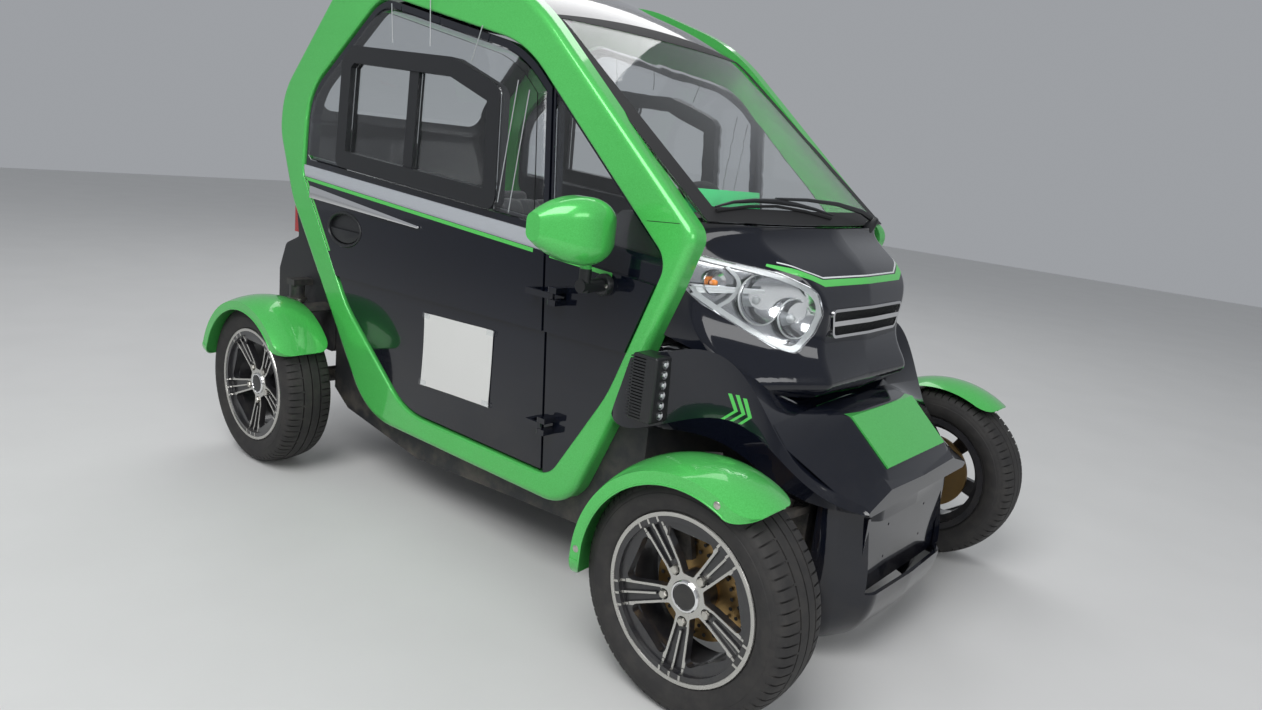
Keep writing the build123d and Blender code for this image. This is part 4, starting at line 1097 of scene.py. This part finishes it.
def resampled(points, spacing):
    """Even points along (x, z, width) corners, with the corners kept."""
    result = []
    for (x0, z0, w0), (x1, z1, w1) in zip(points, points[1:]):
        steps = max(1, round(math.hypot(x1 - x0, z1 - z0) / spacing))
        for i in range(steps):
            t = i / steps
            result.append((x0 + (x1 - x0) * t, z0 + (z1 - z0) * t, w0 + (w1 - w0) * t))
    return result + [points[-1]]


def add_bonnet_stripes():
    """Green and white stripes across the bonnet, given by their right-hand (x, z, width) corners."""
    tree = surface_of("bonnet")
    green = [(-0.320, 0.9515, 0.006), (-0.262, 0.9180, 0.016), (-0.200, 0.8890, 0.018), (0.0, 0.8850, 0.017)]
    white = [(-0.300, 0.9540, 0.003), (-0.250, 0.9270, 0.004), (-0.192, 0.9030, 0.004), (0.0, 0.8990, 0.004)]
    for name, half, rows, finish, slot in (
        ("bonnet_green_stripe", green, 4, green_line, "green_paint"),
        ("bonnet_white_stripe", white, 3, light_line, "silver_trim"),
    ):
        points = resampled(half + [(-x, z, w) for x, z, w in reversed(half[:-1])], 0.012)
        widths = [w for _, _, w in points]
        film = stripe(tree, [(x, z) for x, z, _ in points], widths, (0, 1, -0.35), 0.0006, rows)
        settle(name, film, finish, "root", 0)


def add_chevrons():
    """Three green chevrons on each shoulder of the fairing."""
    tree = surface_of("nose_fairing")
    marks = []
    for top, tip, foot in (
        ((0.1002, 0.6297), (0.0833, 0.5931), (0.1073, 0.5698)),
        ((0.0855, 0.6291), (0.0680, 0.5892), (0.0889, 0.5690)),
        ((0.0703, 0.6240), (0.0547, 0.5837), (0.0714, 0.5656)),
    ):
        rows = [[], [], []]
        for a, b in ((top, tip), (tip, foot)):
            for t in range(6):
                behind, z = a[0] + (b[0] - a[0]) * t / 5, a[1] + (b[1] - a[1]) * t / 5
                for k, row in enumerate(rows):
                    row.append(behind_axle(-0.45, behind + (k - 1) * 0.0038, z))
        marks.append(laid_on(tree, rows, (1, 0, 0), 0.0007))
    settle_both("fairing_chevrons", joined(*marks), green_line, "root", 0)


def between_rows(rows, behind):
    """Values at a distance behind the front axle, between rows of (behind, values)."""
    for low, high in zip(rows, rows[1:]):
        if behind <= high[0] or high is rows[-1]:
            share = (behind - low[0]) / (high[0] - low[0])
            return [a + (b - a) * share for a, b in zip(low[1:], high[1:])]


def add_nose_saddle():
    """Raised middle of the fairing, which carries the hatch and slopes down to the shoulders."""
    tree = surface_of("nose_fairing")
    crest = [(-0.190, 0.440), (-0.172, 0.478), (-0.062, 0.576), (0.012, 0.588)]
    brow = [(-0.196, 0.284, 0.414), (-0.120, 0.318, 0.440), (-0.020, 0.380, 0.522), (0.050, 0.418, 0.634)]
    flat_half = 0.176
    shape = bmesh.new()
    rows = []
    for i in range(52):
        behind = -0.190 + 0.202 * i / 51
        top, = between_rows(crest, behind)
        brow_x, brow_z = between_rows(brow, behind)
        row = []
        for k in range(-80, 81):
            x = (brow_x - 0.004) * k / 80
            drop = max(0.0, abs(x) - flat_half) * (top - brow_z) / (brow_x - flat_half)
            plane = top - drop + 0.004 * max(0.0, 1 - (x / flat_half) ** 2)
            spot, *_ = tree.ray_cast(behind_axle(x, behind, 0.9), Vector((0, 0, -1)))
            floor = spot.z - 0.006 if spot else plane
            row.append(shape.verts.new(behind_axle(x, behind, max(plane, floor))))
        rows.append(row)
    bridge(shape, rows, closed=False)
    face_towards(shape, Vector((0, 0, 1)))
    saddle = polished(plain_mesh(shape), thickness=0.003)
    settle("nose_saddle", saddle, black_paint, "root", 30)


def add_hoop_seams():
    """Joint line across each hoop's face above the headlamp."""
    shares = [i / 8 for i in range(9)]
    rows = []
    for rise in (0.0, 0.0014):
        rows.append([behind_axle(-0.5, 0.3511 - 0.0925 * t, 0.9731 + 0.0059 * t + rise) for t in shares])
    seam = laid_on(surface_of("side_hoops"), rows, (1, 0, 0), 0.0004, 0.0003)
    settle_both("hoop_seam", seam, black_rubber_and_painted_shade, "root", 0)


def add_grille_mesh():
    """Crossed slanting wires, and a dark sheet behind the grille's slots as painted shade."""
    low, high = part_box("grille")
    depth = (low.y + high.y) / 2
    bottom, top = 0.752, 0.807
    wires = []
    for start, end, layer in ((top, bottom, -0.001), (bottom, top, 0.001)):
        wire = round_bar([(-0.190, depth + layer, start), (-0.135, depth + layer, end)], 0.0009, 5)
        wires.append(repeated(row_tree, wire, black_frame, count=47, step=(0.0071, 0, 0)))
    settle("grille_mesh", joined(*wires), black_frame, "root", 0)
    # Dark sheet behind the slots: painted shade.
    back = brick((-0.180, depth + 0.004, bottom), (0.180, depth + 0.006, 0.810))
    settle("grille_slot_shade", back, black_rubber_and_painted_shade, "root", 0)


def lamp_parts():
    """Right-hand headlamp's lens faces and the rest of its solid, as two meshes."""
    shape = bmesh.new()
    shape.from_mesh(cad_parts["headlamps"].data)
    bmesh.ops.remove_doubles(shape, verts=shape.verts, dist=1e-5)
    bmesh.ops.delete(shape, geom=[f for f in shape.faces if f.calc_center_median().x > 0], context="FACES")
    shape.normal_update()
    lens = shape.copy()
    bmesh.ops.delete(lens, geom=[f for f in lens.faces if f.normal.y > -0.12], context="FACES")
    bmesh.ops.delete(shape, geom=[f for f in shape.faces if f.normal.y <= -0.12], context="FACES")
    return plain_mesh(lens), plain_mesh(shape)


def bowl(spot, axis, radius, depth):
    """Concave reflector: a paraboloid shell open along its axis, with a flat floor."""
    axis, side, up = axis_frame(axis)
    shape = bmesh.new()
    rows = []
    for i in range(9):
        share = 0.25 + 0.75 * i / 8
        rows.append(circle(shape, spot + axis * depth * (share ** 2 - 1), side, up, radius * share, 40))
    bridge(shape, rows)
    shape.faces.new(rows[0])
    return polished(from_bmesh(shape, outward=False), thickness=0.0015)


def add_bulb(name, place, axis, rings, finish):
    settle_both(name, disc_stack(place, axis, rings), finish, "root")


def add_headlamps():
    """Lenses, housings, bowls, bulbs and the flasher of the headlamps, and the frames behind their lenses."""
    lens, shell = lamp_parts()
    lens = polished(lens, thickness=0.0025)
    lens_piece = settle_both("headlamp_lens", lens, lamp_glass, "root", 30)
    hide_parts("headlamps")
    settle_both("headlamp_housing", polished(shell, thickness=0.001), lamp_silver, "root", 30)
    beam = Vector((-0.42, -0.88, 0.20)).normalized()
    beam_bulb = [(0, 0.010), (0.006, 0.010), (0.014, 0.007), (0.017, 0.003)]
    for name, spot, radius, depth, sunk in (
        ("dip_bowl", (-0.3235, 0.1252, 0.8265), 0.056, 0.026, 0.011),
        ("beam_bowl", (-0.2600, 0.0645, 0.7900), 0.044, 0.022, 0.013),
    ):
        place = behind_axle(*spot) - beam * sunk
        settle_both(name, bowl(place, beam, radius, depth), lamp_silver, "root")
        lip = [(-0.0015, radius), (-0.0015, radius + 0.0035), (0.0010, radius + 0.0030),
               (0.0014, radius + 0.0012), (0.0005, radius)]
        settle_both(f"{name}_lip", turned_ring(place, beam, lip), lamp_frost, "root")
        add_bulb(f"{name}_bulb", place - beam * depth * 0.9, beam, beam_bulb, lamp_frost)
    place = behind_axle(-0.400, 0.2010, 0.8560) - beam * 0.014
    settle_both("flasher_bowl", bowl(place, beam, 0.030, 0.016), lamp_silver, "root")
    flasher_bulb = [(0, 0.008), (0.008, 0.008), (0.016, 0.006), (0.019, 0.002)]
    add_bulb("flasher_bulb", place - beam * 0.012, beam, flasher_bulb, amber)
    tree = surface_of("headlamps")
    edge = [(-0.430, 0.909), (-0.300, 0.884), (-0.240, 0.852), (-0.221, 0.806), (-0.227, 0.762),
            (-0.257, 0.715), (-0.297, 0.727), (-0.430, 0.819), (-0.444, 0.846)]
    divide = [(-0.385, 0.893), (-0.362, 0.862), (-0.372, 0.822), (-0.398, 0.800)]
    for name, line, width, lift in (
        ("headlamp_border", edge, 0.012, -0.0045),
        ("headlamp_rib", divide, 0.007, -0.0050),
    ):
        band = stripe(tree, rounded_path(line, 0.012), width, (0, 1, 0), lift)
        settle_both(name, band, lamp_frost, "root", 0)


# Work lamps

led_count = 6
fin_count = 20


def add_work_lamps():
    """Cups, light cells and cooling fins of the upright work lamps."""
    low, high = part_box("work_lamps")
    first = Vector((-(abs(low.x) + 0.500) / 2, low.y - 0.0002, low.z + 0.017))
    rise = (0, 0, (high.z - low.z - 0.034) / (led_count - 1))
    cup_rings = [(-0.002, 0.0100), (0.0018, 0.0100), (0.0018, 0.0082), (0.0002, 0.006)]
    led_rings = [(0, 0.0040), (0.0016, 0.0036), (0.0022, 0.002)]
    for name, rings, sides, finish, slot in (
        ("work_lamp_cups", cup_rings, 20, lamp_silver, "chrome_trim"),
        ("work_lamp_leds", led_rings, 12, light_line, "clear_pane"),
    ):
        one = disc_stack(first, (0, -1, 0), rings, sides)
        row = repeated(row_tree, one, finish, count=led_count, step=rise)
        settle_both(name, row, finish, "root")
    fin = brick((low.x, low.y + 0.030, low.z + 0.006), (low.x + 0.052, low.y + 0.074, low.z + 0.0085))
    rise = (0, 0, (high.z - low.z - 0.016) / (fin_count - 1))
    fins = repeated(row_tree, fin, black_frame, count=fin_count, step=rise)
    settle_both("work_lamp_fins", fins, black_frame, "root", 0)


# Windscreen, wiper, plate

border_x = 0.392
border_low = 0.035
border_high = 0.03


def screen_border():
    """Black printed border on the inside of the windscreen's edges."""
    shape = bmesh.new()
    shape.from_mesh(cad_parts["windscreen"].data)
    bmesh.ops.remove_doubles(shape, verts=shape.verts, dist=1e-5)
    shape.normal_update()
    outside = [f for f in shape.faces if f.normal.dot(Vector((0, -0.6, 0.8))) < 0.3]
    bmesh.ops.delete(shape, geom=outside, context="FACES")
    low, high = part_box("windscreen")
    bottom, top = low.z + border_low, high.z - border_high
    sides = [((x, 0, 0), (1, 0, 0)) for x in (-border_x, border_x)]
    ends = [((0, 0, z), (0, 0, 1)) for z in (bottom, top)]
    for spot, normal in sides + ends:
        everything = shape.verts[:] + shape.edges[:] + shape.faces[:]
        bmesh.ops.bisect_plane(shape, geom=everything, plane_co=spot, plane_no=normal)
    inside = []
    for face in shape.faces:
        middle = face.calc_center_median()
        if abs(middle.x) < border_x and bottom < middle.z < top:
            inside.append(face)
    bmesh.ops.delete(shape, geom=inside, context="FACES")
    shape.normal_update()
    for vert in shape.verts:
        vert.co += vert.normal * 0.0008
    return polished(plain_mesh(shape), thickness=0.0004)


def on_screen(tree, x, z, rise):
    """Point at a height off the windscreen, seen from ahead at x and z."""
    spot, normal, _, _ = tree.ray_cast(behind_axle(x, -0.6, z), Vector((0, 1, 0)))
    return spot + normal * rise


def add_screen():
    """Printed border, wiper and the small plate at the foot of the windscreen."""
    settle("screen_border", screen_border(), black_rubber_and_painted_shade, "root", 30)
    tree = surface_of("windscreen")
    blade = [(-0.400, 1.012), (-0.33, 1.024), (-0.25, 1.030), (-0.17, 1.031), (-0.09, 1.026), (-0.02, 1.018),
             (0.05, 1.006)]
    taper = (0.5, 0.9, 1.2, 1.5, 1.2, 0.9, 0.5)
    wiper = round_bar([on_screen(tree, x, z, 0.012) for x, z in blade], 0.0045, 8, taper)
    settle("wiper_blade", wiper, black_frame, "root")
    edge = [(-0.395, 1.010), (-0.28, 1.022), (-0.17, 1.026), (-0.06, 1.018), (0.045, 1.004)]
    rubber = round_bar([on_screen(tree, x, z, 0.004) for x, z in edge], 0.0038, 6)
    settle("wiper_rubber", rubber, black_rubber_and_painted_shade, "root")
    arm_spots = ((-0.17, 1.034, 0.016), (-0.05, 1.030, 0.024), (0.08, 1.020, 0.030), (0.20, 1.004, 0.030),
                 (0.262, 0.990, 0.024))
    arm = [on_screen(tree, *spot) for spot in arm_spots]
    bar = round_bar(arm, 0.0055, 8, (0.6, 0.8, 1.0, 1.3, 1.6))
    settle("wiper_arm", bar, black_frame, "root")
    knob_rings = [(0, 0.016), (0.034, 0.014), (0.040, 0.010)]
    knob = disc_stack(arm[-1] - Vector((0, -0.010, 0.030)), Vector((0, -0.45, 0.9)), knob_rings)
    settle("wiper_pivot", knob, black_frame, "root")
    corners = ((-0.395, 0.318, 1.000), (-0.170, 0.262, 1.000), (-0.170, 0.272, 1.052), (-0.395, 0.328, 1.052))
    plate = slab([behind_axle(*corner) for corner in corners], (0, 0.0015, 0))
    settle("screen_plate", polished(plate, 0.0004), plate_green, "root", 30)


# Seats


def swollen(mesh, voxel, cap):
    """Cushion blown up as cloth from a closed form, each point moving no further than the cap."""
    holder = bpy.data.objects.new("cushion", mesh)
    collection.objects.link(holder)
    remesh = holder.modifiers.new("remesh", "REMESH")
    remesh.mode = "VOXEL"
    remesh.voxel_size = voxel
    start = taken_out(holder)
    before = [vert.co.copy() for vert in start.vertices]
    holder = bpy.data.objects.new("cushion", start)
    collection.objects.link(holder)
    cloth = holder.modifiers.new("cloth", "CLOTH")
    cloth.settings.use_pressure = True
    cloth.settings.uniform_pressure_force = 4
    cloth.settings.effector_weights.gravity = 0
    for step in range(1, 21):
        bpy.context.scene.frame_set(step)
    blown = taken_out(holder)
    bpy.context.scene.frame_set(1)
    for vert, home in zip(blown.vertices, before):
        move = vert.co - home
        if move.length > cap:
            vert.co = home + move.normalized() * cap
    return polished(blown, subdivide=1)


def sewn(mesh, lines, depth):
    """Channels pressed into a cushion along lines: each gives a distance to its seam from a point."""
    reach = 0.009
    places = [vert.co.copy() for vert in mesh.vertices]
    normals = [vert.normal.copy() for vert in mesh.vertices]
    for i, (spot, normal) in enumerate(zip(places, normals)):
        push = 0.0
        for distance in lines:
            gap = abs(distance(spot))
            if gap < 3 * reach:
                push += depth * math.exp(-(gap / reach) ** 2)
        places[i] = spot - normal * push
    mesh.vertices.foreach_set("co", [value for spot in places for value in spot])
    mesh.update()
    return mesh


def add_seats():
    """Two seats: a cushion and a back each, on their supports."""
    pads = (
        ("front_cushion", 0.222, [(0.778, 0.352), (0.778, 0.424), (1.118, 0.398), (1.124, 0.352)], 0.075),
        ("front_back", 0.222, [(1.150, 0.385), (1.246, 0.938), (1.298, 0.938), (1.214, 0.380)], 0.080),
        ("rear_cushion", 0.286, [(1.276, 0.394), (1.276, 0.466), (1.464, 0.458), (1.472, 0.394)], 0.096),
        ("rear_back", 0.286, [(1.496, 0.402), (1.556, 0.938), (1.600, 0.938), (1.566, 0.402)], 0.096),
    )
    for name, half_width, profile, pitch in pads:
        corners = [behind_axle(-half_width, y, z) for y, z in profile]
        form = polished(slab(corners, (2 * half_width, 0, 0)), 0.018, 4)
        mesh = swollen(form, 0.006 if "cushion" in name else 0.0075, 0.012)
        lines = [lambda co, x=(k + 0.5) * pitch: co.x - x for k in range(-2, 2)]
        piece = settle(name, sewn(mesh, lines, 0.006), seat_fabric, "root", 0)
        for polygon in piece.data.polygons:
            polygon.use_smooth = True
        if name == "front_cushion":
            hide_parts("seats")
    support = joined(
        brick(behind_axle(-0.168, 0.842, 0.163), behind_axle(0.168, 1.158, 0.352), 0.010),
        brick(behind_axle(-0.205, 0.800, 0.346), behind_axle(0.205, 1.200, 0.358), 0.004),
        brick(behind_axle(-0.280, 1.290, 0.386), behind_axle(0.280, 1.570, 0.398), 0.004),
    )
    settle("seat_supports", support, dark_plastic, "root", 30)


# Tail lamps and springs

tail_back = 1.940
bezel_wide = 0.004


def add_tail_lamps():
    """Bezel, flasher, reversing lamp and round stop lamp on the back of each tail lamp."""
    low = behind_axle(-0.434, tail_back - 0.002, 0.734)
    high = behind_axle(-0.328, tail_back + 0.0030, 0.814)
    rails = joined(
        brick(low, (high.x, high.y, low.z + bezel_wide), 0.0012),
        brick((low.x, low.y, high.z - bezel_wide), high, 0.0012),
        brick(low, (low.x + bezel_wide, high.y, high.z), 0.0012),
        brick((high.x - bezel_wide, low.y, low.z), high, 0.0012),
    )
    settle_both("tail_lamp_bezel", rails, black_frame, "root", 30)
    for name, outer, inner, finish in (
        ("tail_flasher", -0.428, -0.396, amber),
        ("reversing_lamp", -0.352, -0.334, light_line),
    ):
        ribs = []
        for z in (0.742 + 0.0072 * k for k in range(9)):
            start = behind_axle(outer, tail_back - 0.002, z)
            ribs.append(brick(start, behind_axle(inner, tail_back + 0.0018, z + 0.0052), 0.0014))
        settle_both(name, joined(*ribs), finish, "root", 30)
    rings = [(-0.002, 0.019), (0.0020, 0.019), (0.0028, 0.0175), (0.0016, 0.0165), (0.0016, 0.0125),
             (0.0030, 0.0115), (0.0034, 0.0070), (0.0036, 0.0020)]
    dome = disc_stack(behind_axle(-0.374, tail_back, 0.774), (0, 1, 0), rings, 40)
    settle_both("stop_lamp", dome, red_lens, "root", 30)


def add_springs():
    """Coils and end collars round the struts that the CAD leaves as plain rods."""
    foot, head = behind_axle(-0.420, 0, 0.1653), behind_axle(-0.302, 0, 0.386)
    spring = coil(foot.lerp(head, 0.30), foot.lerp(head, 0.84), 0.0215, 0.0035, 8)
    settle_both("front_spring", spring, bolt_steel, "root", 60)
    low, high = behind_axle(-0.506, 1.806, 0.320), behind_axle(-0.506, 1.806, 0.520)
    spring = coil(low, high, 0.0262, 0.0042, 9)
    collar_rings = [(-0.006, 0.026), (-0.005, 0.032), (0.003, 0.032), (0.004, 0.026)]
    collars = [disc_stack(spot, (0, 0, 1), collar_rings, 32) for spot in (low, high)]
    settle_both("rear_spring", joined(spring, *collars), bolt_steel, "root", 60)


add_camera()
add_tail_lamps()
add_springs()
add_wheels()
add_disc_hole_shade()
add_guard_trim()
add_door_trim()
add_door_handle()
add_mirror_arms()
add_pane_ribs()
add_paper()
add_bonnet_stripes()
add_chevrons()
add_nose_saddle()
add_hoop_seams()
add_grille_mesh()
add_headlamps()
add_work_lamps()
add_screen()
add_seats()


# Floor, lights and world


def add_floor():
    mesh = bpy.data.meshes.new("floor")
    half = 12
    corners = [(-half, -half, 0), (half, -half, 0), (half, half, 0), (-half, half, 0)]
    mesh.from_pydata(corners, [], [(0, 1, 2, 3)])
    floor = bpy.data.objects.new("floor", mesh)
    surface = Finish("floor", (0.66, 0.66, 0.65), 0.6)
    surface.mixed_color(surface.noise(3.0, 6.0), (0.72, 0.72, 0.71))
    mesh.materials.append(surface.grained(120, 6, 0.5, 0.1).material)
    collection.objects.link(floor)


def add_light(name, place, target, size, watts):
    data = bpy.data.lights.new(name, "AREA")
    data.shape = "RECTANGLE"
    data.size = size[0]
    data.size_y = size[1]
    data.energy = watts
    lamp = bpy.data.objects.new(name, data)
    lamp.location = place
    lamp.rotation_euler = (Vector(target) - Vector(place)).to_track_quat("-Z", "Y").to_euler()
    collection.objects.link(lamp)


def add_world():
    world = bpy.data.worlds.new("studio")
    bpy.context.scene.world = world
    world.use_nodes = True
    world.node_tree.nodes["Background"].inputs["Color"].default_value = (0.80, 0.83, 0.88, 1)
    world.node_tree.nodes["Background"].inputs["Strength"].default_value = 0.42


add_floor()
add_light("key", (-3.4, -1.2, 4.4), (0, 0, 0.6), (3.0, 3.0), 170)
add_light("front", (-2.2, -5.0, 2.6), (0, 0, 0.6), (3.0, 1.6), 55)
add_light("back", (2.6, 2.6, 4.8), (0, 0, 0.6), (4, 3), 75)
add_world()

bpy.context.scene.view_settings.view_transform = "Standard"
